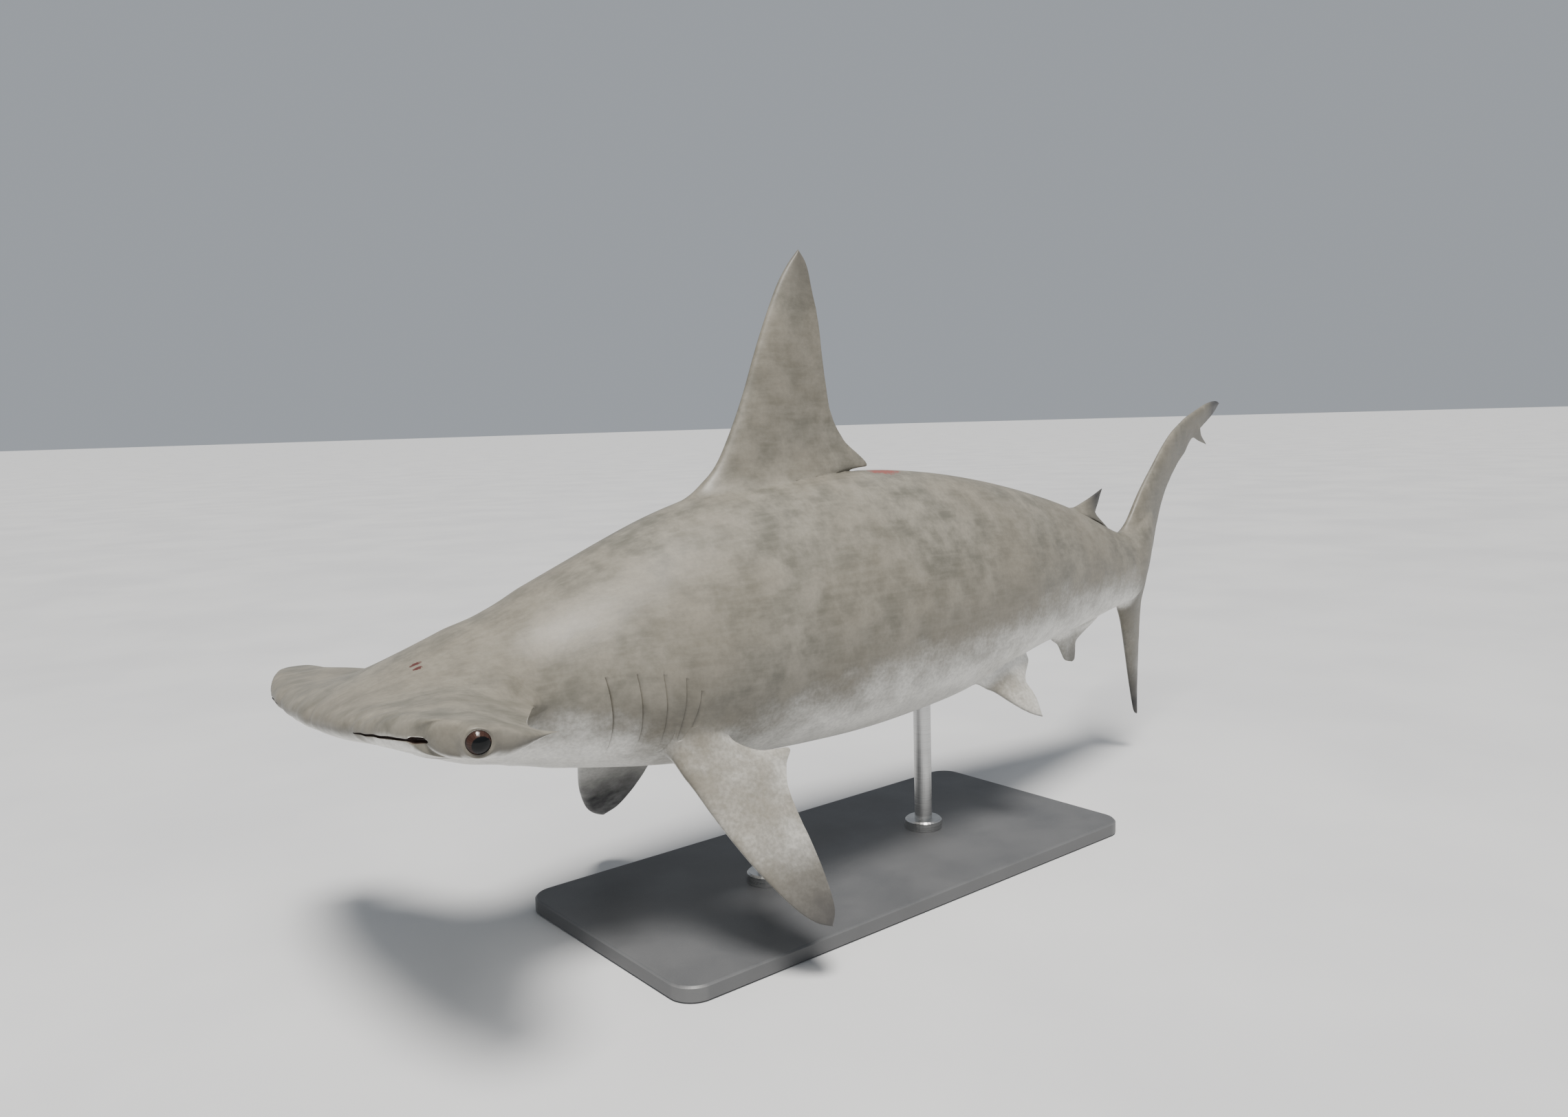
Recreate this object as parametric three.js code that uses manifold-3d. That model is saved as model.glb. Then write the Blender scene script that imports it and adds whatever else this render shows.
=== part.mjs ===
// Hammerhead shark, life size, as a still museum model on a plain stand.
// Millimetres, +Z up, the shark faces -X and its left side faces -Y.
// The body is described in fractions of the total length: t from the snout, y to the shark's right, z up.
import * as THREE from 'three';
import { mergeVertices } from 'three/addons/utils/BufferGeometryUtils.js';
import Module from 'manifold-3d';

const wasm = await Module();
wasm.setup();

// Driving sizes
const TOTAL_LENGTH = 2500;
const AXIS_HEIGHT = 450;
const BASE_LENGTH = 1000;
const BASE_WIDTH = 460;
const BASE_THICKNESS = 25;
const BASE_CORNER_RADIUS = 40;
const BASE_CHAMFER = 3;
const ROD_RADIUS = 16;
const COLLAR_RADIUS = 34;
const COLLAR_HEIGHT = 18;
const COLLAR_CHAMFER = 3;
const FRONT_ROD_AT = 0.285;
const REAR_ROD_AT = 0.435;
const STAND_CENTRE_AT = 0.355;
const NODE_GAP = 0.3;

// Bend of the body in plan, and roll of the head
const BEND_PIVOT = 0.3298;
const BEND_BODY = 0.1226;
const BEND_TAIL_FROM = 0.4338;
const BEND_TAIL = 1.0947;
const BEND_HEAD_RIGID = 0.1011;
const HEAD_ROLL = THREE.MathUtils.degToRad(-3.9);
const ROLL_FULL_UNTIL = 0.12;
const ROLL_NONE_FROM = 0.24;

// Body stations: t, back height, belly height, half width
const BODY_STATIONS = [
  [0.000, 0.0000, -0.0140, 0.0600],
  [0.027, 0.0075, -0.0245, 0.0580],
  [0.047, 0.0160, -0.0340, 0.0560],
  [0.075, 0.0268, -0.0455, 0.0530],
  [0.105, 0.0380, -0.0540, 0.0515],
  [0.125, 0.0462, -0.0580, 0.0555],
  [0.150, 0.0567, -0.0625, 0.0620],
  [0.180, 0.0695, -0.0675, 0.0660],
  [0.210, 0.0810, -0.0715, 0.0680],
  [0.250, 0.0920, -0.0752, 0.0695],
  [0.300, 0.0970, -0.0775, 0.0700],
  [0.350, 0.0990, -0.0780, 0.0695],
  [0.400, 0.0982, -0.0752, 0.0670],
  [0.450, 0.0935, -0.0700, 0.0625],
  [0.500, 0.0855, -0.0590, 0.0560],
  [0.550, 0.0748, -0.0502, 0.0470],
  [0.600, 0.0618, -0.0450, 0.0375],
  [0.640, 0.0490, -0.0405, 0.0300],
  [0.675, 0.0362, -0.0362, 0.0248],
  [0.700, 0.0290, -0.0350, 0.0215],
  [0.715, 0.0310, -0.0330, 0.0190],
  [0.730, 0.0385, -0.0240, 0.0155],
  [0.745, 0.0470, -0.0060, 0.0115],
  [0.760, 0.0500, 0.0170, 0.0065],
];
const WIDEST_LEVEL = 0.45;
const BACK_EXPONENT = 1.8;
const BELLY_EXPONENT = 2.2;
const NECK_AT = 0.105;
const LOFT_FROM = 0.030;
const SKULL_END = 0.111;
const LOFT_SINK = 0.15;
const LOFT_NARROW = 2.2;
const SINK_FROM = 0.097;

// Hammer: plan of the wing
const HAMMER_FRONT_HALF = 0.1290;
const HAMMER_END_FROM = 0.30;
const HAMMER_MAX_HALF = 0.1490;
const HAMMER_REAR_HALF = 0.1310;
const HAMMER_ARCH = 0.0176;
const HAMMER_NOSE = -0.0015;
const HAMMER_REAR_AT = 0.0725;
const HAMMER_REAR_SWEEP = 0.018;
const HAMMER_REAR_HOLLOW = 0.0110;
const HAMMER_FILLET = 0.15;
const WING_HALF_THICKNESS = 0.0083;
const WING_LEVEL_FRONT = -0.0081;
const WING_LEVEL_SIDE = -0.0052;
const WING_REAR_DROP = 0.0065;
const WING_FRONT_ROUND = 0.17;
const WING_REAR_FROM = 0.45;
const WING_REAR_POWER = 1.25;
const WING_END_ROUND = 0.07;
const WING_TOP_PAD = 0.25;
const WING_VALLEY = 1.3;
const WING_VALLEY_AT = 0.76;
const LEFT_PAD_END = 0.80;
const LEFT_PAD_LOSS = 1.1;
const RIGHT_REAR_GAIN = 0.9;
const RIGHT_VALLEY_LOSS = 0.8;
const DOME_SPREAD_TOP = 0.060;
const DOME_SPREAD_UNDER = 0.040;
const DOME_FRONT_ROUND = 0.2;
const MEDIAN_NOTCH = [0, 0.0025, 0.045];
const INNER_NOTCH = [0.45, 0.0016, 0.045];
const NOSTRIL_NOTCH = [0.92, 0.0020, 0.030];

// Eyes and their lids
const EYE_AT = [0.0291, 0.1434, -0.0058];
const EYE_TURN = 20 * Math.PI / 180;
const EYE_RADIUS = 16.5;
const LID_RADIUS = 14.2;
const LID_THICKNESS = 2.0;
const LID_OUT = 9.3;

// Mesh fineness
const QUARTER_STEPS = 8;
const WING_STEPS = 11;
const HEAD_CHORD_STEPS = 13;
const STATION_STEP = 0.02425;
const FLARE_REACH = 0.014;

// Straight frame to the part's frame
function smooth(x) {
  const k = THREE.MathUtils.clamp(x, 0, 1);
  return k * k * (3 - 2 * k);
}

function heading(t) {
  const tail = Math.max(t - BEND_TAIL_FROM, 0);
  return BEND_BODY * (Math.max(t, BEND_HEAD_RIGID) - BEND_PIVOT) + BEND_TAIL * tail * tail;
}

function midline(t) {
  const steps = 48;
  const span = t - BEND_PIVOT;
  let x = BEND_PIVOT;
  let y = 0;
  for (let i = 0; i < steps; i++) {
    const angle = heading(BEND_PIVOT + span * (i + 0.5) / steps);
    x += Math.cos(angle) * span / steps;
    y += Math.sin(angle) * span / steps;
  }
  return [x, y];
}

const [STAND_CENTRE_X] = midline(STAND_CENTRE_AT);

function place([t, y, z]) {
  const roll = HEAD_ROLL * smooth((ROLL_NONE_FROM - t) / (ROLL_NONE_FROM - ROLL_FULL_UNTIL));
  const yr = y * Math.cos(roll) - z * Math.sin(roll);
  const zr = y * Math.sin(roll) + z * Math.cos(roll);
  const [mx, my] = midline(t);
  const turn = heading(t);
  return [
    (mx - Math.sin(turn) * yr - STAND_CENTRE_X) * TOTAL_LENGTH,
    (my + Math.cos(turn) * yr) * TOTAL_LENGTH,
    zr * TOTAL_LENGTH + AXIS_HEIGHT,
  ];
}

// Curves
function curveAt(points, u) {
  const last = points.length - 1;
  const at = THREE.MathUtils.clamp(u, 0, 1) * last;
  const i = Math.min(Math.floor(at), last - 1);
  const f = at - i;
  const p0 = points[Math.max(i - 1, 0)];
  const p1 = points[i];
  const p2 = points[i + 1];
  const p3 = points[Math.min(i + 2, last)];
  return p1.map((_, k) => {
    const a = 2 * p1[k];
    const b = p2[k] - p0[k];
    const c = 2 * p0[k] - 5 * p1[k] + 4 * p2[k] - p3[k];
    const d = 3 * p1[k] - p0[k] - 3 * p2[k] + p3[k];
    return 0.5 * (a + b * f + c * f * f + d * f * f * f);
  });
}

function stationSlope(i, k) {
  const before = BODY_STATIONS[Math.max(i - 1, 0)];
  const after = BODY_STATIONS[Math.min(i + 1, BODY_STATIONS.length - 1)];
  return (after[k] - before[k]) / (after[0] - before[0]);
}

function bodyProfile(t) {
  let i = 0;
  while (i < BODY_STATIONS.length - 2 && BODY_STATIONS[i + 1][0] < t) {
    i += 1;
  }
  const a = BODY_STATIONS[i];
  const b = BODY_STATIONS[i + 1];
  const width = b[0] - a[0];
  const f = THREE.MathUtils.clamp((t - a[0]) / width, 0, 1);
  const [back, belly, half] = [1, 2, 3].map((k) => {
    const f2 = f * f;
    const f3 = f2 * f;
    return (2 * f3 - 3 * f2 + 1) * a[k] + (f3 - 2 * f2 + f) * width * stationSlope(i, k)
      + (3 * f2 - 2 * f3) * b[k] + (f3 - f2) * width * stationSlope(i + 1, k);
  });
  return { back, belly, half, level: belly + WIDEST_LEVEL * (back - belly) };
}

// Meshes
function rowsToTriangles(rows, closed, out) {
  for (let i = 0; i < rows.length - 1; i++) {
    const count = rows[i].length;
    for (let j = 0; j < (closed ? count : count - 1); j++) {
      const a = rows[i][j];
      const b = rows[i][(j + 1) % count];
      const c = rows[i + 1][j];
      const d = rows[i + 1][(j + 1) % count];
      out.push([a, b, d], [a, d, c]);
    }
  }
}

function capFan(loop, out) {
  const centre = [0, 1, 2].map((k) => loop.reduce((sum, p) => sum + p[k], 0) / loop.length);
  for (let j = 0; j < loop.length; j++) {
    out.push([centre, loop[(j + 1) % loop.length], loop[j]]);
  }
}

function geometryFrom(triangles) {
  const geometry = new THREE.BufferGeometry();
  geometry.setAttribute('position', new THREE.Float32BufferAttribute(triangles.flat(2), 3));
  return geometry;
}

function signedVolume(mesh) {
  const p = mesh.vertProperties;
  const corner = (index) => new THREE.Vector3(p[3 * index], p[3 * index + 1], p[3 * index + 2]);
  let sum = 0;
  for (let i = 0; i < mesh.triVerts.length; i += 3) {
    const [a, b, c] = [0, 1, 2].map((k) => corner(mesh.triVerts[i + k]));
    sum += a.dot(b.cross(c));
  }
  return sum / 6;
}

function solid(geometry) {
  const bare = geometry.clone();
  bare.deleteAttribute('normal');
  bare.deleteAttribute('uv');
  const merged = mergeVertices(bare, 1e-3);
  const index = merged.index.array;
  const triVerts = [];
  for (let i = 0; i < index.length; i += 3) {
    const [a, b, c] = [index[i], index[i + 1], index[i + 2]];
    if (a !== b && b !== c && c !== a) {
      triVerts.push(a, b, c);
    }
  }
  const vertProperties = new Float32Array(merged.attributes.position.array);
  const mesh = { numProp: 3, vertProperties, triVerts: new Uint32Array(triVerts) };
  if (signedVolume(mesh) < 0) {
    mesh.triVerts.reverse();
  }
  return new wasm.Manifold(new wasm.Mesh(mesh));
}

// Body from inside the head to the root of the tail fin
function bodyLoop(t) {
  const { back, belly, half, level } = bodyProfile(t);
  const ahead = Math.max(NECK_AT - t, 0);
  const sunk = LOFT_SINK * ahead;
  const narrow = 1 - LOFT_NARROW * ahead;
  const loop = [];
  for (let side = 0; side < 2; side++) {
    const exponent = 2 + ((side ? BELLY_EXPONENT : BACK_EXPONENT) - 2) * smooth((t - NECK_AT) / 0.08);
    const height = side ? belly + sunk - level : back - sunk - level;
    for (let i = 0; i < 2 * QUARTER_STEPS; i++) {
      const angle = (side ? 1 : -1) * (Math.PI / 2) * (1 - i / QUARTER_STEPS);
      const y = Math.sign(Math.sin(angle)) * Math.abs(Math.sin(angle)) ** (2 / exponent) * half * narrow;
      const z = level + Math.abs(Math.cos(angle)) ** (2 / exponent) * height;
      loop.push([t, y, z]);
    }
  }
  return loop;
}

// Head: two height fields over the plan of the hammer, closed inside the body
const NECK_HALF = bodyProfile(NECK_AT).half;
const NECK_SHARE = NECK_HALF / HAMMER_REAR_HALF;

function headColumns() {
  const half = [];
  for (let i = 0; i <= QUARTER_STEPS; i++) {
    half.push(NECK_SHARE * Math.sin(Math.PI / 2 * i / QUARTER_STEPS));
  }
  for (let i = 1; i <= WING_STEPS; i++) {
    half.push(NECK_SHARE + (1 - NECK_SHARE) * (1 - Math.cos(Math.PI * i / WING_STEPS)) / 2);
  }
  return [...half.slice(1).reverse().map((v) => -v), ...half];
}

function notch(v, [at, depth, width]) {
  return depth * Math.exp(-(((Math.abs(v) - at) / width) ** 2));
}

function hammerFront(v) {
  const arch = HAMMER_NOSE + HAMMER_ARCH * Math.abs(v) ** 2.8;
  return arch + notch(v, MEDIAN_NOTCH) + notch(v, INNER_NOTCH) + notch(v, NOSTRIL_NOTCH);
}

function hammerRear(v) {
  const aside = Math.max((Math.abs(v) - NECK_SHARE) / (1 - NECK_SHARE), 0);
  const hollow = HAMMER_REAR_HOLLOW * Math.sin(Math.PI * Math.min(aside, 1) ** 3);
  const straight = HAMMER_REAR_AT + HAMMER_REAR_SWEEP * (1 - aside) - hollow;
  return straight + (SKULL_END - HAMMER_REAR_AT - HAMMER_REAR_SWEEP) * Math.exp(-aside / HAMMER_FILLET);
}

function hammerHalf(c) {
  const rise = Math.sin(Math.PI / 2 * Math.min(c / HAMMER_END_FROM, 1));
  const fall = smooth((c - WING_REAR_FROM) / (1 - WING_REAR_FROM));
  return HAMMER_FRONT_HALF + (HAMMER_MAX_HALF - HAMMER_FRONT_HALF) * rise
    - (HAMMER_MAX_HALF - HAMMER_REAR_HALF) * fall;
}

function headLevel(v, c) {
  const out = Math.abs(v);
  const beyondNeck = Math.max((out - NECK_SHARE) / (1 - NECK_SHARE), 0);
  const wing = WING_LEVEL_FRONT + (WING_LEVEL_SIDE - WING_LEVEL_FRONT) * smooth(out / 0.8)
    - WING_REAR_DROP * smooth(c) * out ** 3;
  const neck = bodyProfile(NECK_AT).level;
  return wing + (neck - wing) * smooth((c - 0.4) / 0.6) * (1 - smooth(beyondNeck / 0.5));
}

function wingHeight(v, c, top) {
  const front = Math.sqrt(1 - (1 - Math.min(c / WING_FRONT_ROUND, 1)) ** 2);
  const beyondNeck = Math.max((Math.abs(v) - NECK_SHARE) / (1 - NECK_SHARE), 0);
  const rear = Math.max((c - WING_REAR_FROM) / (1 - WING_REAR_FROM), 0);
  const right = smooth(v / 0.4);
  const wedge = 1 - rear ** (WING_REAR_POWER + RIGHT_REAR_GAIN * right + 3 * Math.exp(-beyondNeck / 0.12));
  const endward = Math.max((Math.abs(v) - 1 + WING_END_ROUND) / WING_END_ROUND, 0);
  const end = Math.sqrt(Math.max(1 - endward ** 2, 0));
  const dip = WING_VALLEY * (1 - RIGHT_VALLEY_LOSS * right);
  const valley = 1 - dip * Math.exp(-(((Math.abs(v) - WING_VALLEY_AT) / 0.12) ** 2));
  const kept = 1 - LEFT_PAD_LOSS * smooth((-v - LEFT_PAD_END) / 0.12);
  const pad = top ? WING_TOP_PAD * valley * kept * smooth((c - 0.1) / 0.4) * smooth(Math.abs(v) / 0.4) : 0;
  return WING_HALF_THICKNESS * (1 + pad) * front * wedge * end;
}

function domeHeight(t, y, v, c, rise, top) {
  const reach = Math.max((NECK_AT - t) / NECK_AT, 0);
  const half = NECK_HALF + (top ? DOME_SPREAD_TOP : DOME_SPREAD_UNDER) * reach ** 0.9 * smooth(reach / 0.25);
  const power = 0.5 + (top ? 1.6 : 1.0) * smooth(reach / 0.6);
  const share = Math.max(1 - (y / half) ** 2, 0);
  const beyondNeck = Math.max((Math.abs(v) - NECK_SHARE) / (1 - NECK_SHARE), 0);
  const margin = Math.sqrt(1 - c ** (6 + 50 * Math.exp(-beyondNeck / 0.04)));
  const sink = Math.max(t - SINK_FROM, 0) / (SKULL_END - SINK_FROM);
  const sinking = Math.sqrt(Math.max(1 - sink ** 3, 0));
  const front = Math.sqrt(1 - (1 - Math.min(c / DOME_FRONT_ROUND, 1)) ** 2);
  return rise * share ** power * front * margin * sinking;
}

function headPoint(v, c, top) {
  const t = hammerFront(v) + c * (hammerRear(v) - hammerFront(v));
  const y = v * hammerHalf(c);
  const level = headLevel(v, c);
  const centre = bodyProfile(t);
  const rise = Math.max(top ? centre.back - level : level - centre.belly, 0);
  const height = (wingHeight(v, c, top) ** 3 + domeHeight(t, y, v, c, rise, top) ** 3) ** (1 / 3);
  return [t, y, level + (top ? height : -height)];
}

// Point of the head's upper or under side at a place of the plan
function headAt(t, y, top) {
  let v = y / HAMMER_MAX_HALF;
  let c = 0;
  for (let i = 0; i < 8; i++) {
    c = THREE.MathUtils.clamp((t - hammerFront(v)) / (hammerRear(v) - hammerFront(v)), 0, 1);
    v = y / hammerHalf(c);
  }
  return headPoint(v, c, top);
}

function headRows(top) {
  const rows = [];
  for (let i = 0; i <= HEAD_CHORD_STEPS; i++) {
    const c = 1 - Math.cos(Math.PI / 2 * i / HEAD_CHORD_STEPS);
    const chord = i === HEAD_CHORD_STEPS ? 1 : c ** 0.85;
    rows.push(headColumns().map((v) => headPoint(v, chord, top)));
  }
  return rows;
}

function headSolid() {
  const triangles = [];
  rowsToTriangles(headRows(true), false, triangles);
  rowsToTriangles(headRows(false).map((row) => [...row].reverse()), false, triangles);
  return solid(geometryFrom(triangles.map((triangle) => triangle.map(place))));
}

function bodySolid() {
  const triangles = [];
  const stations = [LOFT_FROM, 0.050, 0.068, 0.085];
  for (let t = NECK_AT; t < 0.76; t += STATION_STEP) {
    stations.push(t);
  }
  const loops = stations.map(bodyLoop);
  rowsToTriangles(loops, true, triangles);
  capFan(loops[0], triangles);
  capFan([...loops[loops.length - 1]].reverse(), triangles);
  return solid(geometryFrom(triangles.map((triangle) => triangle.map(place))));
}

// Clearance of a point from the body's surface, below zero inside
function bodyClearance([t, y, z]) {
  const { back, belly, half, level } = bodyProfile(t);
  const above = z > level;
  const exponent = above ? BACK_EXPONENT : BELLY_EXPONENT;
  const height = above ? back - level : level - belly;
  const scaled = (Math.abs(y / half) ** exponent + Math.abs((z - level) / height) ** exponent)
    ** (1 / exponent);
  return Math.hypot(y, z - level) * (1 - 1 / Math.max(scaled, 1e-3));
}

// Fins: a leading and a trailing curve with a rounded section between them, flared at the body
function fin({ lead, trail, normal, thickness, spanSteps, chordSteps, mirror, flare = 0.0028 }) {
  const side = mirror ? -1 : 1;
  const unit = new THREE.Vector3(...normal).normalize();
  const faces = [[], []];
  for (let i = 0; i <= spanSteps; i++) {
    const h = Math.sin(Math.PI / 2 * i / spanSteps);
    const a = curveAt(lead, h);
    const b = curveAt(trail, h);
    const thick = curveAt(thickness.map((value) => [value]), h)[0];
    const tip = Math.sqrt(Math.max(1 - h ** 8, 0));
    for (const face of [0, 1]) {
      const row = [];
      for (let j = 0; j <= chordSteps; j++) {
        const c = (1 - Math.cos(Math.PI * j / chordSteps)) / 2;
        const middle = [0, 1, 2].map((k) => a[k] + (b[k] - a[k]) * c);
        const section = 2.6 * Math.sqrt(c) * (1 - c) * (1 - 0.35 * c) + 0.12 * Math.sqrt(1 - c) * c;
        const near = Math.max(1 - Math.max(bodyClearance(middle), 0) / FLARE_REACH, 0);
        const root = flare * near ** 2 * Math.sqrt(4 * c * (1 - c));
        const off = (face ? -1 : 1) * (thick / 2 * section + root) * tip;
        const p = middle.map((value, k) => value + unit.getComponent(k) * off);
        row.push([p[0], p[1] * side, p[2]]);
      }
      faces[face].push(row);
    }
  }
  const triangles = [];
  rowsToTriangles(faces[0], false, triangles);
  rowsToTriangles(faces[1].map((row) => [...row].reverse()), false, triangles);
  rowsToTriangles([faces[1][0], faces[0][0]], false, triangles);
  return solid(geometryFrom(triangles.map((triangle) => triangle.map(place))));
}

const FIRST_DORSAL = {
  lead: [[0.196, 0, 0.0680], [0.2210, 0, 0.0825], [0.241, 0, 0.0952], [0.2546, 0, 0.1077], [0.2665, 0, 0.128],
    [0.2775, 0, 0.1515], [0.2872, 0, 0.1763], [0.2957, 0, 0.1963], [0.3069, 0, 0.2196],
    [0.3166, 0, 0.2340], [0.3262, 0, 0.2445]],
  trail: [[0.362, 0, 0.070], [0.366, 0, 0.0985], [0.3838, 0, 0.1027], [0.3628, 0, 0.1201],
    [0.3511, 0, 0.1394], [0.3457, 0, 0.1688], [0.3418, 0, 0.1998], [0.3376, 0, 0.217],
    [0.333, 0, 0.2349], [0.3262, 0, 0.2445]],
  normal: [0, 1, 0],
  thickness: [0.022, 0.0205, 0.0165, 0.013, 0.010, 0.0075, 0.0050],
  spanSteps: 16,
  chordSteps: 10,
};

const SECOND_DORSAL = {
  lead: [[0.600, 0, 0.040], [0.612, 0, 0.0550], [0.628, 0, 0.0563], [0.640, 0, 0.0592], [0.652, 0, 0.0626],
    [0.6625, 0, 0.0660], [0.6722, 0, 0.0693]],
  trail: [[0.640, 0, 0.030], [0.652, 0, 0.0430], [0.6850, 0, 0.0322], [0.668, 0, 0.0425], [0.6612, 0, 0.0485],
    [0.6660, 0, 0.0575], [0.6722, 0, 0.0693]],
  normal: [0, 1, 0],
  thickness: [0.009, 0.008, 0.005, 0.003],
  spanSteps: 9,
  chordSteps: 8,
  flare: 0.002,
};

const ANAL = {
  lead: [[0.588, 0, -0.038], [0.5945, 0, -0.0508], [0.6040, 0, -0.0570], [0.6095, 0, -0.0650],
    [0.6145, 0, -0.0713], [0.6245, 0, -0.0742]],
  trail: [[0.635, 0, -0.030], [0.643, 0, -0.0405], [0.667, 0, -0.0405], [0.6400, 0, -0.0525],
    [0.6308, 0, -0.0578], [0.6297, 0, -0.0660], [0.6285, 0, -0.0726], [0.6245, 0, -0.0742]],
  normal: [0, 1, 0],
  thickness: [0.009, 0.008, 0.005, 0.003],
  spanSteps: 11,
  chordSteps: 8,
  flare: 0.002,
};

// The pectoral's plane: span, chord from its leading edge, origin at the front of its base
const PECTORAL_ORIGIN = [0.1785, -0.0521, -0.0554];
const PECTORAL_SPAN = [0.4289, -0.5638, -0.7058];
const PECTORAL_CHORD = [0.8839, 0.1005, 0.4568];
const PECTORAL_NORMAL = [-0.1866, -0.8198, 0.5415];
const RIGHT_PECTORAL = {
  twist: THREE.MathUtils.degToRad(-24), mirror: true, forward: 0.001, broad: 1.17, long: 0.950,
};

function pectoral({ twist = 0, mirror = false, forward = 0, broad = 1, long = 1 }) {
  const chordWay = PECTORAL_CHORD.map((k, i) => k * Math.cos(twist) + PECTORAL_NORMAL[i] * Math.sin(twist));
  const normal = PECTORAL_NORMAL.map((k, i) => k * Math.cos(twist) - PECTORAL_CHORD[i] * Math.sin(twist));
  const onPlane = ([span, chord]) => PECTORAL_ORIGIN.map(
    (o, k) => o + PECTORAL_SPAN[k] * span * long + chordWay[k] * chord * broad - (k ? 0 : forward),
  );
  return {
    lead: [[-0.025, 0.007], [0, -0.0015], [0.018, -0.0027], [0.038, -0.0060], [0.0585, -0.0084],
      [0.0805, -0.0096], [0.1056, -0.0086], [0.1202, -0.0050], [0.1288, 0.0008]].map(onPlane),
    trail: [[-0.010, 0.044], [0.0125, 0.0378], [0.0223, 0.0401], [0.0325, 0.0462], [0.0428, 0.0603],
      [0.0482, 0.0522], [0.0569, 0.0430], [0.0703, 0.0357], [0.0892, 0.0279], [0.1069, 0.0196],
      [0.1229, 0.0097], [0.1288, 0.0008]].map(onPlane),
    normal,
    thickness: [0.016, 0.014, 0.0105, 0.008, 0.006, 0.004],
    spanSteps: 16,
    chordSteps: 10,
    mirror,
  };
}

const PELVIC = {
  lead: [[0.450, -0.028, -0.050], [0.4570, -0.0378, -0.0604], [0.4660, -0.0432, -0.0655],
    [0.4740, -0.0495, -0.0724], [0.4815, -0.0552, -0.0787], [0.4890, -0.0594, -0.0834],
    [0.4969, -0.0623, -0.0865]],
  trail: [[0.500, -0.020, -0.038], [0.5063, -0.0288, -0.0426], [0.5155, -0.0308, -0.0441],
    [0.5170, -0.0345, -0.0487], [0.5120, -0.0375, -0.0531], [0.5040, -0.0415, -0.0592],
    [0.5004, -0.0450, -0.0640], [0.5012, -0.0490, -0.0690], [0.5014, -0.0535, -0.0748],
    [0.4994, -0.0579, -0.0807], [0.4969, -0.0623, -0.0865]],
  normal: [0.10, -0.74, 0.66],
  thickness: [0.010, 0.009, 0.006, 0.0035],
  spanSteps: 11,
  chordSteps: 8,
  flare: 0.002,
};

// Tail fin: the upper lobe down to its hooked corner, its end lobe behind the notch, and the lower lobe
const TAIL_UPPER = {
  lead: [[0.698, 0, 0.010], [0.706, 0, 0.0283], [0.7206, 0, 0.0398], [0.744, 0, 0.0638], [0.7691, 0, 0.084],
    [0.7970, 0, 0.1040], [0.8280, 0.001, 0.1180], [0.8600, 0.001, 0.1265], [0.8850, 0.001, 0.1275],
    [0.9050, 0.001, 0.1200], [0.9180, 0.002, 0.1090], [0.9470, 0.002, 0.0985]],
  trail: [[0.745, 0.002, -0.035], [0.7579, 0.001, -0.0200], [0.7700, 0, 0.0060], [0.7800, 0, 0.0300],
    [0.7960, 0, 0.0555], [0.8180, 0.001, 0.0725], [0.8400, 0.002, 0.0845], [0.8600, 0.002, 0.0935],
    [0.8770, 0.003, 0.1018], [0.8880, 0.002, 0.1068], [0.9100, 0.002, 0.1032], [0.9470, 0.002, 0.0985]],
  normal: [0, 1, 0],
  thickness: [0.030, 0.0175, 0.0115, 0.0088, 0.0078, 0.0072, 0.0065, 0.0052, 0.0035],
  spanSteps: 24,
  chordSteps: 8,
  flare: 0,
};

const TAIL_END = {
  lead: [[0.8280, 0.001, 0.1172], [0.8450, 0.001, 0.1232], [0.8630, 0.001, 0.1283], [0.8850, 0.001, 0.1325],
    [0.9050, 0, 0.1366], [0.9250, -0.001, 0.1401], [0.9513, -0.002, 0.1426], [0.9750, -0.003, 0.1431],
    [0.9908, -0.004, 0.1407]],
  trail: [[0.8350, 0.002, 0.1050], [0.8580, 0.002, 0.1085], [0.8800, 0.001, 0.1110], [0.9030, 0.001, 0.1130],
    [0.9160, 0, 0.1178], [0.9320, -0.001, 0.1225], [0.9500, -0.002, 0.1275], [0.9720, -0.003, 0.1340],
    [0.9908, -0.004, 0.1407]],
  normal: [0, 1, 0],
  thickness: [0.0060, 0.0064, 0.0060, 0.0055, 0.0048, 0.0035],
  spanSteps: 16,
  chordSteps: 8,
  flare: 0,
};

const TAIL_LOWER = {
  lead: [[0.690, 0, -0.020], [0.7000, 0, -0.0360], [0.7095, 0.0009, -0.0505], [0.7218, 0.0028, -0.080],
    [0.7354, 0.0053, -0.1123], [0.7486, 0.0070, -0.1409], [0.7550, 0.0075, -0.1465]],
  trail: [[0.770, 0, 0.010], [0.7579, 0, -0.0200], [0.7490, 0.0010, -0.0400], [0.7470, 0.0019, -0.0700],
    [0.7500, 0.0043, -0.1000], [0.7545, 0.0070, -0.1330], [0.7550, 0.0075, -0.1465]],
  normal: [0, 1, 0],
  thickness: [0.019, 0.0135, 0.0095, 0.0070, 0.0052, 0.0035],
  flare: 0,
  spanSteps: 12,
  chordSteps: 8,
};

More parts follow.
